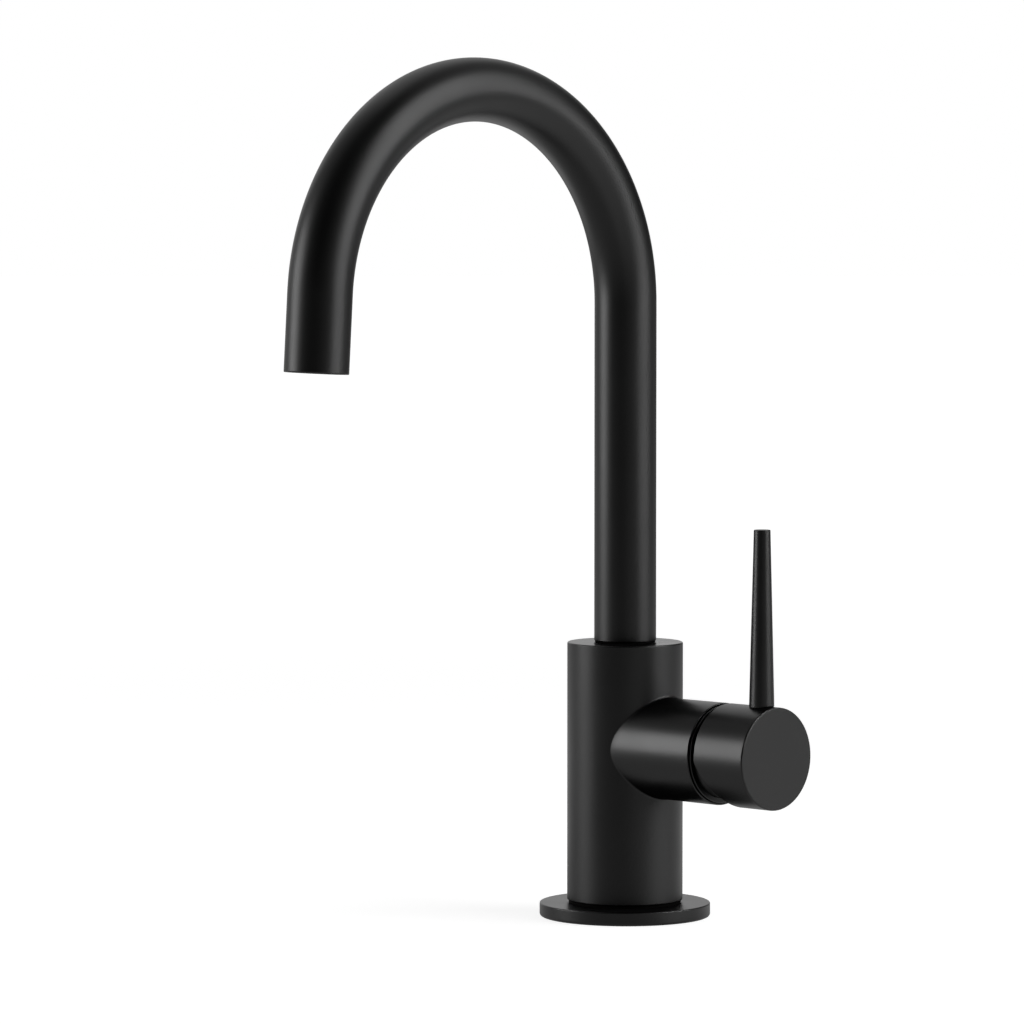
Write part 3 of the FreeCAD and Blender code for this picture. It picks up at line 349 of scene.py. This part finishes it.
nodeSlot = {row["node"]: row["material_slot"] for row in frame["record"]["subparts"]}
nodeBody = {node: body for body, nodes in frame["record"]["behaviour"]["bodies"].items() for node in nodes}

for nodeName, node in frame["nodes"].items():
    node.data.materials.clear()
    node.data.materials.append(finishes[slotFinish[nodeSlot[nodeName]]])
print("materials ready:", len(finishes))

# mesh helpers

def addPiece(name, mesh, nodeName, finish=None):
    piece = bpy.data.objects.new(name, mesh)
    bpy.context.scene.collection.objects.link(piece)
    mesh.materials.clear()
    mesh.materials.append(finishes[finish or slotFinish[nodeSlot[nodeName]]])
    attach(piece, nodeBody[nodeName])
    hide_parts(nodeName)
    return piece


weldDistance = 1e-7
holdLength = 0.06  # millimetres kept straight beside each rounding


def weld(name, sheets):
    # a sheet is rows of points in millimetres and whether they close round; a row of one point is a pole
    work = bmesh.new()
    for rows, closed in sheets:
        grid = [[work.verts.new(Vector(point) * mm) for point in row] for row in rows]
        for lower, upper in zip(grid, grid[1:]):
            count = max(len(lower), len(upper))
            for here in range(count if closed else count - 1):
                there = (here + 1) % count
                corners = [lower[here % len(lower)], lower[there % len(lower)],
                           upper[there % len(upper)], upper[here % len(upper)]]
                work.faces.new(list(dict.fromkeys(corners)))
    bmesh.ops.remove_doubles(work, verts=work.verts, dist=weldDistance)
    return closeMesh(name, work)


def closeMesh(name, work, sharpAngle=35):
    bmesh.ops.recalc_face_normals(work, faces=work.faces)
    openEdges = [edge for edge in work.edges if len(edge.link_faces) != 2]
    if openEdges:
        print("open edges on", name, len(openEdges))
    for face in work.faces:
        face.smooth = True
    for edge in work.edges:
        edge.smooth = edge.calc_face_angle(0) < math.radians(sharpAngle)
    mesh = bpy.data.meshes.new(name)
    work.to_mesh(mesh)
    work.free()
    return mesh


def roundCorners(corners, steps=5):
    # corners are (radius, along, rounding)
    line = []
    for index, (radius, along, rounding) in enumerate(corners):
        here = Vector((radius, along))
        if rounding == 0:
            line.append(here)
            continue
        before = (Vector(corners[index - 1][:2]) - here).normalized()
        after = (Vector(corners[(index + 1) % len(corners)][:2]) - here).normalized()
        half = before.angle(after) / 2
        start = here + before * rounding / math.tan(half)
        end = here + after * rounding / math.tan(half)
        middle = here + (before + after).normalized() * rounding / math.sin(half)
        line.append(start + before * holdLength)
        sweep = math.pi - 2 * half
        line += [middle + swing(start - middle, end - middle, sweep, step / steps) for step in range(steps + 1)]
        line.append(end + after * holdLength)
    return line


def swing(first, last, sweep, share):
    # from one radius of an arc to another
    return (first * math.sin((1 - share) * sweep) + last * math.sin(share * sweep)) / math.sin(sweep)


def turn(line, place, count, loop=False):
    rows = []
    for radius, along in line:
        if radius == 0:
            rows.append([place(0, 0, along)])
        else:
            rows.append([place(radius, math.tau * k / count, along) for k in range(count)])
    if loop:
        rows.append(rows[0])
    return rows, True


def paintShadeInGap(mesh, low, high, radius, slack=0.01):
    # painted shade: the faces hidden in the shadow gap get the dull painted-shade black, with almost no gloss,
    # so they render as dark as the shade there
    mesh.materials.append(finishes["paintedShadeBlack"])
    for face in mesh.polygons:
        x, y, z = face.center / mm
        if low - slack < z < high + slack and math.hypot(x, y) < radius + slack:
            face.material_index = 1


def upright(centreX=0):
    return lambda r, a, h: (centreX + r * math.cos(a), r * math.sin(a), h)


valveHeight = 61.72  # of the branch's axis, which the valve and the handle share


def alongBranch(r, a, x):
    return (x, r * math.cos(a), valveHeight + r * math.sin(a))


# flange

flangeSizes = {
    "bore": 17.6,
    "radius": 30.65,
    "thickness": 4.95,
    "bottomRound": 1.0,
    "topRound": 0.4,
    "landRadius": 20.1,
    "landTop": 5.9,
    "gasketInner": 22.05,
    "gasketOuter": 27.05,
    "gasketDepth": 1.5,
    "segments": 160,
}


def makeFlange(s):
    line = roundCorners([
        (s["bore"], 0, 0),
        (s["gasketInner"], 0, 0),
        (s["gasketInner"], s["gasketDepth"], 0),
        (s["gasketOuter"], s["gasketDepth"], 0),
        (s["gasketOuter"], 0, 0),
        (s["radius"], 0, s["bottomRound"]),
        (s["radius"], s["thickness"], s["topRound"]),
        (s["landRadius"], s["thickness"], 0),
        (s["landRadius"], s["landTop"], 0),
        (s["bore"], s["landTop"], 0),
    ])
    mesh = weld("flange", [turn(line, upright(), s["segments"], loop=True)])
    addPiece("flange", mesh, "base_flange", "flangeCoat")
    # painted shade on the land ring inside the shadow gap under the body
    paintShadeInGap(mesh, s["thickness"], s["landTop"], s["landRadius"])


makeFlange(flangeSizes)
print("flange made")

# body

bodySizes = {
    "radius": 20.75,
    "bottom": 5.9,
    "top": 98.7,
    "edge": 0.5,
    "spigotRadius": 17.5,
    "spigotBottom": 0.6,
    "footRadius": 15.6,
    "footTop": 12.0,
    "socketRadius": 10.0,
    "socketBottom": 73.6,
    "socketEdge": 0.2,
    "branchRadius": 18.1,
    "branchEnd": 47.5,
    "branchEdge": 0.3,
    "rimRadius": 17.6,
    "seat": 45.5,
    "threadRadius": 15.7,
    "threadEnd": 41.6,
    "pocketRadius": 15.2,
    "pocketFloor": 19.98,
    "blend": 0.8,
    "blendSteps": 6,
    "wallRows": (15, 26, 92),  # extra rows, two below the window and one above it
    "windowHalfAngle": 80,  # the branch meets the wall inside this window
    "windowHalfHeight": 24,
    "windowSteps": 32,
    "backSteps": 40,
    "firstTurn": -45,  # where round the branch the window's first corner is
    "wallShares": (1, 0.85, 0.7, 0.55, 0.4, 0.27, 0.16, 0.08, 0.03, 0.01),  # rows from window to blend
    "branchShares": (0.01, 0.1, 0.3, 0.5, 0.75, 1),  # rows from blend to mouth
}


def makeBody(s):
    radius = s["radius"]
    steps = s["windowSteps"]
    half = math.radians(s["windowHalfAngle"])
    tall = s["windowHalfHeight"]
    windowAngles = [-half + 2 * half * k / steps for k in range(steps + 1)]
    backAngles = [half + (math.tau - 2 * half) * k / s["backSteps"] for k in range(1, s["backSteps"])]
    angles = windowAngles + backAngles
    windowHeights = [valveHeight - tall + 2 * tall * k / steps for k in range(steps + 1)]
    lowRow, midRow, highRow = s["wallRows"]

    def ring(r, h):
        return [(r * math.cos(a), r * math.sin(a), h) for a in angles] if r > 0 else [(0, 0, h)]

    def onWall(a, h):
        return (radius * math.cos(a), radius * math.sin(a), h)

    below = roundCorners([
        (0, s["footTop"], 0),
        (s["footRadius"], s["footTop"], 0),
        (s["footRadius"], s["spigotBottom"], 0),
        (s["spigotRadius"], s["spigotBottom"], 0),
        (s["spigotRadius"], s["bottom"], 0),
        (radius, s["bottom"], s["edge"]),
        (radius, lowRow, 0),
        (radius, midRow, 0),
        (radius, windowHeights[0], 0),
    ])
    above = roundCorners([
        (radius, windowHeights[-1], 0),
        (radius, highRow, 0),
        (radius, s["top"], s["edge"]),
        (s["socketRadius"], s["top"], s["socketEdge"]),
        (s["socketRadius"], s["socketBottom"], 0),
        (0, s["socketBottom"], 0),
    ])
    sheets = [([ring(r, h) for r, h in line], True) for line in (below, above)]
    # wall beside the window
    sideAngles = [windowAngles[-1]] + backAngles + [windowAngles[0] + math.tau]
    sheets.append(([[onWall(a, h) for a in sideAngles] for h in windowHeights], False))
    # window edge, counter-clockwise from its lower corner on the +Y side
    edge = [(half, h) for h in windowHeights[:-1]]
    edge += [(a, windowHeights[-1]) for a in reversed(windowAngles[1:])]
    edge += [(-half, h) for h in reversed(windowHeights[1:])]
    edge += [(a, windowHeights[0]) for a in windowAngles[:-1]]
    turns = [math.radians(s["firstTurn"]) + math.tau * k / len(edge) for k in range(len(edge))]
    branch = s["branchRadius"]
    blend = s["blend"]
    # the blend is the path of a ball rolled round the joint
    hubTouch = []
    branchTouch = []
    balls = []
    for a in turns:
        y = (branch + blend) * math.cos(a)
        z = valveHeight + (branch + blend) * math.sin(a)
        x = math.sqrt((radius + blend) ** 2 - y * y)
        balls.append(Vector((x, y, z)))
        hubTouch.append(Vector((x * radius / (radius + blend), y * radius / (radius + blend), z)))
        branchTouch.append(Vector(alongBranch(branch, a, x)))
    rows = []
    for share in s["wallShares"]:
        row = []
        for (a, h), touch in zip(edge, hubTouch):
            start = math.atan2(touch.y, touch.x)
            row.append(onWall(start + (a - start) * share, touch.z + (h - touch.z) * share))
        rows.append(row)
    for step in range(s["blendSteps"] + 1):
        row = []
        for ball, first, last in zip(balls, hubTouch, branchTouch):
            sweep = (first - ball).angle(last - ball)
            row.append(ball + swing(first - ball, last - ball, sweep, step / s["blendSteps"]))
        rows.append(row)
    plainEnd = s["branchEnd"] - s["branchEdge"] - holdLength
    for share in s["branchShares"]:
        rows.append([(t.x + (plainEnd - t.x) * share, t.y, t.z) for t in branchTouch])
    # the first two points of the mouth are already there as the last row
    mouth = roundCorners([
        (branch, plainEnd, 0),
        (branch, s["branchEnd"], s["branchEdge"]),
        (s["rimRadius"], s["branchEnd"], 0),
        (s["rimRadius"], s["seat"], 0),
        (s["threadRadius"], s["seat"], 0),
        (s["threadRadius"], s["threadEnd"], 0),
        (s["pocketRadius"], s["threadEnd"], 0),
        (s["pocketRadius"], s["pocketFloor"], 0),
        (0, s["pocketFloor"], 0),
    ])[2:]
    for r, x in mouth:
        rows.append([alongBranch(r, a, x) for a in turns] if r > 0 else [alongBranch(0, 0, x)])
    sheets.append((rows, True))
    addPiece("body", weld("body", sheets), "faucet_body")


makeBody(bodySizes)
print("body made")

# dome that closes the branch

domeSizes = {
    "flangeRadius": 17.3,
    "flangeBack": 45.5,
    "flangeFront": 48.2,
    "centre": 47.0,
    "radius": 15.6,
    "wall": 1.2,
    "opening": 11.22,
    "skirtRadius": 15.5,
    "skirtBack": 44.8,
    "bore": 13.7,
    "edge": 0.25,
    "steps": 10,
    "segments": 128,
}


def makeDome(s):
    def onBall(r, ballRadius):
        return (r, s["centre"] + math.sqrt(ballRadius ** 2 - r * r))

    outer = s["radius"]
    inner = s["radius"] - s["wall"]
    foot = math.sqrt(outer ** 2 - (s["flangeFront"] - s["centre"]) ** 2)
    line = roundCorners([
        (s["bore"], s["skirtBack"], 0),
        (s["skirtRadius"], s["skirtBack"], 0),
        (s["skirtRadius"], s["flangeBack"], 0),
        (s["flangeRadius"], s["flangeBack"], 0),
        (s["flangeRadius"], s["flangeFront"], s["edge"]),
        (foot, s["flangeFront"], 0),
    ])
    steps = s["steps"]
    for step in range(1, steps + 1):
        line.append(onBall(foot + (s["opening"] - foot) * step / steps, outer))
    for step in range(steps + 1):
        line.append(onBall(s["opening"] + (s["bore"] - s["opening"]) * step / steps, inner))
    addPiece("dome", weld("dome", [turn(line, alongBranch, s["segments"], loop=True)]), "bonnet_dome")


makeDome(domeSizes)
print("dome made")

# handle cap

capSizes = {
    "radius": 18.1,
    "back": 50.3,
    "front": 73.16,
    "edge": 0.55,
    "cavityRadius": 16.0,
    "cavityFloor": 70.16,
    "hubRadius": 7.5,
    "hubBack": 63.26,
    "reliefDrop": 1.5,
    "reliefAngle": 28.0,
    "backEdge": 0.2,
    "backEdgeSteps": 5,
    "faceRow": 0.5,  # share of the radius
    "frontRow": 4.0,  # depth of the wall's first row behind the front
    "wallShares": (0.25, 0.5, 0.75, 0.98),  # rows from there to the back
    "cavityRow": 2.0,
    "leverX": 66.06,  # the set screw's hole is opposite the lever
    "screwHoleRadius": 2.05,
    "screwHoleEnd": 9.0,  # below the branch's axis
    "drillOverrun": 3.0,
    "drillSegments": 48,
    "segments": 144,
}


def makeCap(s):
    slope = math.tan(math.radians(s["reliefAngle"]))
    angles = [math.tau * k / s["segments"] for k in range(s["segments"])]
    radius = s["radius"]
    inner = s["cavityRadius"]
    edge = s["backEdge"]
    wallStart = s["front"] - s["frontRow"]

    def backAt(r, a):
        return s["back"] + slope * max(0, -r * math.sin(a) - s["reliefDrop"])

    def ring(r, x):
        return [alongBranch(r, a, x) for a in angles] if r > 0 else [alongBranch(0, 0, x)]

    def backRing(r, offset):
        return [alongBranch(r, a, backAt(r, a) + offset) for a in angles]

    def wallRing(share):
        return [alongBranch(radius, a, wallStart + (backAt(radius, a) + edge - wallStart) * share)
                for a in angles]

    front = roundCorners([(0, s["front"], 0), (radius, s["front"], s["edge"]), (radius, wallStart, 0)])
    rows = [ring(0, s["front"]), ring(radius * s["faceRow"], s["front"])]
    rows += [ring(r, x) for r, x in front[1:]]
    rows += [wallRing(share) for share in s["wallShares"]]
    for step in range(s["backEdgeSteps"] + 1):
        lean = math.pi / 2 * step / s["backEdgeSteps"]
        rows.append(backRing(radius - edge + edge * math.cos(lean), edge - edge * math.sin(lean)))
    rows += [backRing(radius - edge - holdLength, 0), backRing(inner + edge, 0), backRing(inner, edge)]
    rows += [ring(r, x) for r, x in (
        (inner, s["cavityFloor"] - s["cavityRow"]),
        (inner, s["cavityFloor"]),
        (s["hubRadius"], s["cavityFloor"]),
        (s["hubRadius"], s["hubBack"]),
        (0, s["hubBack"]),
    )]
    cap = bpy.data.objects.new("capBlank", weld("cap", [(rows, True)]))
    bpy.context.scene.collection.objects.link(cap)
    low = valveHeight - radius - s["drillOverrun"]
    high = valveHeight - s["screwHoleEnd"]
    drillLine = [(0, low), (s["screwHoleRadius"], low), (s["screwHoleRadius"], high), (0, high)]
    drillMesh = weld("drill", [turn(drillLine, upright(s["leverX"]), s["drillSegments"])])
    drill = bpy.data.objects.new("drill", drillMesh)
    bpy.context.scene.collection.objects.link(drill)
    cutting = cap.modifiers.new("screwHole", "BOOLEAN")
    cutting.object = drill
    cutting.solver = "EXACT"
    drilled = finalMesh(cap)
    bpy.data.objects.remove(drill)
    bpy.data.objects.remove(cap)
    work = bmesh.new()
    work.from_mesh(drilled)
    addPiece("cap", closeMesh("cap", work), "handle_cap")


def finalMesh(piece):
    bpy.context.view_layer.update()
    shown = piece.evaluated_get(bpy.context.evaluated_depsgraph_get())
    return bpy.data.meshes.new_from_object(shown)


makeCap(capSizes)
print("handle cap made")

# lever

leverSizes = {
    "stud": 2.4,
    "studRadius": 3.2,
    "gap": 0.04,
    "flare": 3.0,
    "baseRadius": 4.43,
    "tip": 141.72,
    "tipRadius": 2.93,
    "edge": 0.3,
    "rowShares": (0.3, 0.6, 0.9),
    "segments": 96,
}


def makeLever(s):
    # the foot is coped to the cap: low in the lever, heights follow the cap's round top
    crest = valveHeight + capSizes["radius"] + s["gap"]
    tall = s["tip"] - crest
    copeTop = crest + s["flare"]
    ends = roundCorners([
        (0, crest - s["stud"], 0),
        (s["studRadius"], crest - s["stud"], 0),
        (s["studRadius"], crest, 0),
        (s["baseRadius"], crest, s["edge"]),
        (s["tipRadius"], s["tip"], s["edge"]),
        (0, s["tip"], 0),
    ])
    foot = [point for point in ends if point.y < copeTop]
    tip = [point for point in ends if point.y > copeTop]
    shank = [(s["baseRadius"] + (s["tipRadius"] - s["baseRadius"]) * share, crest + tall * share)
             for share in (s["flare"] / tall, *s["rowShares"])]

    def coped(r, a, h):
        y = r * math.sin(a)
        drop = capSizes["radius"] - math.sqrt(capSizes["radius"] ** 2 - y * y)
        share = min(1, max(0, (copeTop - h) / s["flare"]))
        return (capSizes["leverX"] + r * math.cos(a), y, h - drop * share)

    addPiece("lever", weld("lever", [turn([*foot, *shank, *tip], coped, s["segments"])]), "lever")


makeLever(leverSizes)
print("lever made")

# gooseneck tube, by geometry nodes

neckSizes = {
    "Foot Height": 0.0992,
    "Riser Length": 0.1210,
    "Bend Radius": 0.07465,
    "Bend Angle": math.radians(176.26),
    "Drop Length": 0.0270,
    "Outer Radius": 0.0111,
    "Wall": 0.0014,
    "Hold": 0.0006,
    "Rows": 260,
    "Segments": 96,
}
neckLip = {"rounding": 0.00035, "steps": 4, "sharpAngle": 60}
mergeDistance = 1e-6


def newTree(name, sizes):
    tree = bpy.data.node_groups.new(name, "GeometryNodeTree")
    for label, value in sizes.items():
        kind = "NodeSocketInt" if isinstance(value, int) else "NodeSocketFloat"
        tree.interface.new_socket(label, in_out="INPUT", socket_type=kind)
    tree.interface.new_socket("Geometry", in_out="OUTPUT", socket_type="NodeSocketGeometry")
    return tree, addNode(tree, "NodeGroupInput").outputs


def endTree(tree, geometry, finish):
    real = addNode(tree, "GeometryNodeRealizeInstances", Geometry=geometry).outputs[0]
    painted = addNode(tree, "GeometryNodeSetMaterial", Geometry=real, Material=finish).outputs[0]
    tree.links.new(painted, addNode(tree, "NodeGroupOutput").inputs[0])


def position(tree):
    spot = addNode(tree, "GeometryNodeInputPosition").outputs[0]
    return addNode(tree, "ShaderNodeSeparateXYZ", Vector=spot).outputs


def makeNeckTree(sizes, finish):
    tree, given = newTree("gooseneck", sizes)
    riser, bend = given["Riser Length"], given["Bend Radius"]
    bendLength = compute(tree, "MULTIPLY", bend, given["Bend Angle"])
    bendEnd = compute(tree, "ADD", riser, bendLength)
    total = compute(tree, "ADD", bendEnd, given["Drop Length"])
    hold = given["Hold"]
    lastHold = compute(tree, "SUBTRACT", total, hold)
    outer = given["Outer Radius"]
    inner = compute(tree, "SUBTRACT", outer, given["Wall"])
    rows, few = given["Rows"], 2
    # sheets of the tube's skin: from and to along the path, from and to in radius, rows
    sheets = [
        (0.0, hold, outer, outer, few),
        (hold, lastHold, outer, outer, rows),
        (lastHold, total, outer, outer, few),
        (total, total, outer, inner, few),
        (total, lastHold, inner, inner, few),
        (lastHold, hold, inner, inner, rows),
        (hold, 0.0, inner, inner, few),
        (0.0, 0.0, inner, outer, few),
    ]
    around = compute(tree, "ADD", given["Segments"], 1.0)
    joined = addNode(tree, "GeometryNodeJoinGeometry")
    for start, end, fromRadius, toRadius, count in sheets:
        sheet = addNode(tree, "GeometryNodeMeshGrid", SizeX=1.0, SizeY=1.0, VerticesX=count, VerticesY=around)
        # the grid runs from -0.5 to 0.5: X becomes the path and Y the angle round it
        spot = position(tree)
        along = compute(tree, "ADD", spot["X"], 0.5)
        far, wide = [addNode(tree, "ShaderNodeMapRange", Value=along, ToMin=low, ToMax=high).outputs["Result"]
                     for low, high in ((start, end), (fromRadius, toRadius))]
        angle = compute(tree, "MULTIPLY", compute(tree, "ADD", spot["Y"], 0.5), math.tau)
        flat = addNode(tree, "ShaderNodeCombineXYZ", X=far, Y=wide, Z=angle).outputs[0]
        placed = addNode(tree, "GeometryNodeSetPosition", Geometry=sheet.outputs["Mesh"], Position=flat)
        tree.links.new(placed.outputs[0], joined.inputs[0])
    # bend the sheets along the path
    spot = position(tree)
    past = compute(tree, "DIVIDE", compute(tree, "SUBTRACT", spot["X"], riser), bend)
    turned = compute(tree, "MINIMUM", compute(tree, "MAXIMUM", past, 0.0), given["Bend Angle"])
    before = compute(tree, "MINIMUM", spot["X"], riser)
    after = compute(tree, "MAXIMUM", compute(tree, "SUBTRACT", spot["X"], bendEnd), 0.0)
    sine, cosine = compute(tree, "SINE", turned), compute(tree, "COSINE", turned)
    acrossX = compute(tree, "MULTIPLY", spot["Y"], compute(tree, "COSINE", spot["Z"]))
    acrossY = compute(tree, "MULTIPLY", spot["Y"], compute(tree, "SINE", spot["Z"]))
    # how far the path has come forward, and the skin about it
    forward = compute(tree, "MULTIPLY_ADD", bend, compute(tree, "SUBTRACT", 1.0, cosine),
                      compute(tree, "MULTIPLY", after, sine))
    pointY = compute(tree, "SUBTRACT", compute(tree, "MULTIPLY", acrossY, cosine), forward)
    rise = compute(tree, "MULTIPLY_ADD", compute(tree, "ADD", bend, acrossY), sine,
                   compute(tree, "MULTIPLY", after, cosine))
    pointZ = compute(tree, "ADD", compute(tree, "ADD", given["Foot Height"], before), rise)
    bent = addNode(tree, "ShaderNodeCombineXYZ", X=acrossX, Y=pointY, Z=pointZ).outputs[0]
    skin = addNode(tree, "GeometryNodeSetPosition", Geometry=joined.outputs[0], Position=bent).outputs[0]
    merged = addNode(tree, "GeometryNodeMergeByDistance", Geometry=skin, Distance=mergeDistance).outputs[0]
    endTree(tree, addNode(tree, "GeometryNodeSetShadeSmooth", Geometry=merged).outputs[0], finish)
    return tree


def runTree(name, tree, sizes):
    carrier = bpy.data.objects.new(name + "Carrier", bpy.data.meshes.new(name + "Carrier"))
    bpy.context.scene.collection.objects.link(carrier)
    modifier = carrier.modifiers.new(name, "NODES")
    modifier.node_group = tree
    for item in tree.interface.items_tree:
        if item.in_out == "INPUT" and item.name in sizes:
            modifier[item.identifier] = sizes[item.name]
    work = bmesh.new()
    work.from_mesh(finalMesh(carrier))
    carrier.modifiers.clear()
    bpy.data.objects.remove(carrier)
    return work


def roundEdges(piece, name, edge, roundFrom=60):
    rounding = piece.modifiers.new(name, "BEVEL")
    rounding.width = edge["rounding"]
    rounding.segments = edge["steps"]
    rounding.limit_method = "ANGLE"
    rounding.angle_limit = math.radians(roundFrom)
    rounding.use_clamp_overlap = False


def makeNeck(sizes, lip):
    work = runTree("gooseneck", makeNeckTree(sizes, finishes["neckCoat"]), sizes)
    piece = addPiece("gooseneck", closeMesh("gooseneck", work, lip["sharpAngle"]), "spout_tube", "neckCoat")
    roundEdges(piece, "lip", lip)


makeNeck(neckSizes, neckLip)
print("gooseneck made")

# bush on which the gooseneck turns

bushSizes = {
    "bore": 8.8,
    "sleeveRadius": 9.98,
    "flangeRadius": 10.8,
    "bottom": 93.0,
    "segments": 96,
}


def makeBush(s):
    body = bodySizes["top"]
    foot = neckSizes["Foot Height"] / mm
    line = [
        (s["bore"], s["bottom"]),
        (s["sleeveRadius"], s["bottom"]),
        (s["sleeveRadius"], body),
        (s["flangeRadius"], body),
        (s["flangeRadius"], foot),
        (s["bore"], foot),
    ]
    mesh = weld("bush", [turn(line, upright(), s["segments"], loop=True)])
    # painted shade: the bush, seen only in the shadow gap under the gooseneck, gets the dull painted-shade
    # black instead of its own acetal
    addPiece("bush", mesh, "spout_bush", "paintedShadeBlack")


makeBush(bushSizes)
print("bush made")

# aerator core with its holes, by geometry nodes

coreSizes = {
    "Core Radius": 0.00745,
    "Core Bottom": 0.0015,
    "Core Height": 0.0042,
    "Hole Radius": 0.00075,
    "Hole Sides": 20,
    "Inner Ring": 0.0027,
    "Inner Holes": 6,
    "Outer Ring": 0.0052,
    "Outer Holes": 12,
    "Rim Segments": 96,
}
coreMouth = {"rounding": 0.00012, "steps": 2, "sharpAngle": 40}
drillOverrun = 1.5  # the drills' length, as a share of the core's


def outletPlace(neck):
    # where the tube ends, and how it leans there
    turned = neck["Bend Angle"]
    forward = neck["Bend Radius"] * (1 - math.cos(turned)) + neck["Drop Length"] * math.sin(turned)
    rise = neck["Bend Radius"] * math.sin(turned) + neck["Drop Length"] * math.cos(turned)
    return (0, -forward, neck["Foot Height"] + neck["Riser Length"] + rise), (turned - math.pi, 0, 0)


def makeCoreTree(sizes, finish):
    tree, given = newTree("aeratorCore", sizes)
    height = given["Core Height"]
    blank = addNode(tree, "GeometryNodeMeshCylinder", Vertices=given["Rim Segments"],
                    Radius=given["Core Radius"], Depth=height).outputs["Mesh"]
    drill = addNode(tree, "GeometryNodeMeshCylinder", Vertices=given["Hole Sides"], Radius=given["Hole Radius"],
                    Depth=compute(tree, "MULTIPLY", height, drillOverrun)).outputs["Mesh"]
    drills = addNode(tree, "GeometryNodeJoinGeometry")
    tree.links.new(drill, drills.inputs[0])
    for ring, holes in (("Inner Ring", "Inner Holes"), ("Outer Ring", "Outer Holes")):
        spots = addNode(tree, "GeometryNodeMeshCircle", Vertices=given[holes], Radius=given[ring]).outputs[0]
        copies = addNode(tree, "GeometryNodeInstanceOnPoints", Points=spots, Instance=drill).outputs[0]
        real = addNode(tree, "GeometryNodeRealizeInstances", Geometry=copies).outputs[0]
        tree.links.new(real, drills.inputs[0])
    drilled = addNode(tree, "GeometryNodeMeshBoolean", {"operation": "DIFFERENCE", "solver": "EXACT"},
                      at0=blank, at1=drills.outputs[0]).outputs["Mesh"]
    middle = compute(tree, "MULTIPLY_ADD", height, 0.5, given["Core Bottom"])
    lift = addNode(tree, "ShaderNodeCombineXYZ", Z=middle).outputs[0]
    raised = addNode(tree, "GeometryNodeTransform", Geometry=drilled, Translation=lift).outputs[0]
    spot, lean = outletPlace(neckSizes)
    placed = addNode(tree, "GeometryNodeTransform", Geometry=raised, Translation=spot,
                     Rotation=lean).outputs[0]
    endTree(tree, placed, finish)
    return tree


def makeCore(sizes, mouth):
    work = runTree("aeratorCore", makeCoreTree(sizes, finishes["acetal"]), sizes)
    piece = addPiece("aeratorCore", closeMesh("aeratorCore", work, mouth["sharpAngle"]), "aerator_core")
    roundEdges(piece, "mouth", mouth)


makeCore(coreSizes, coreMouth)
print("aerator core made")
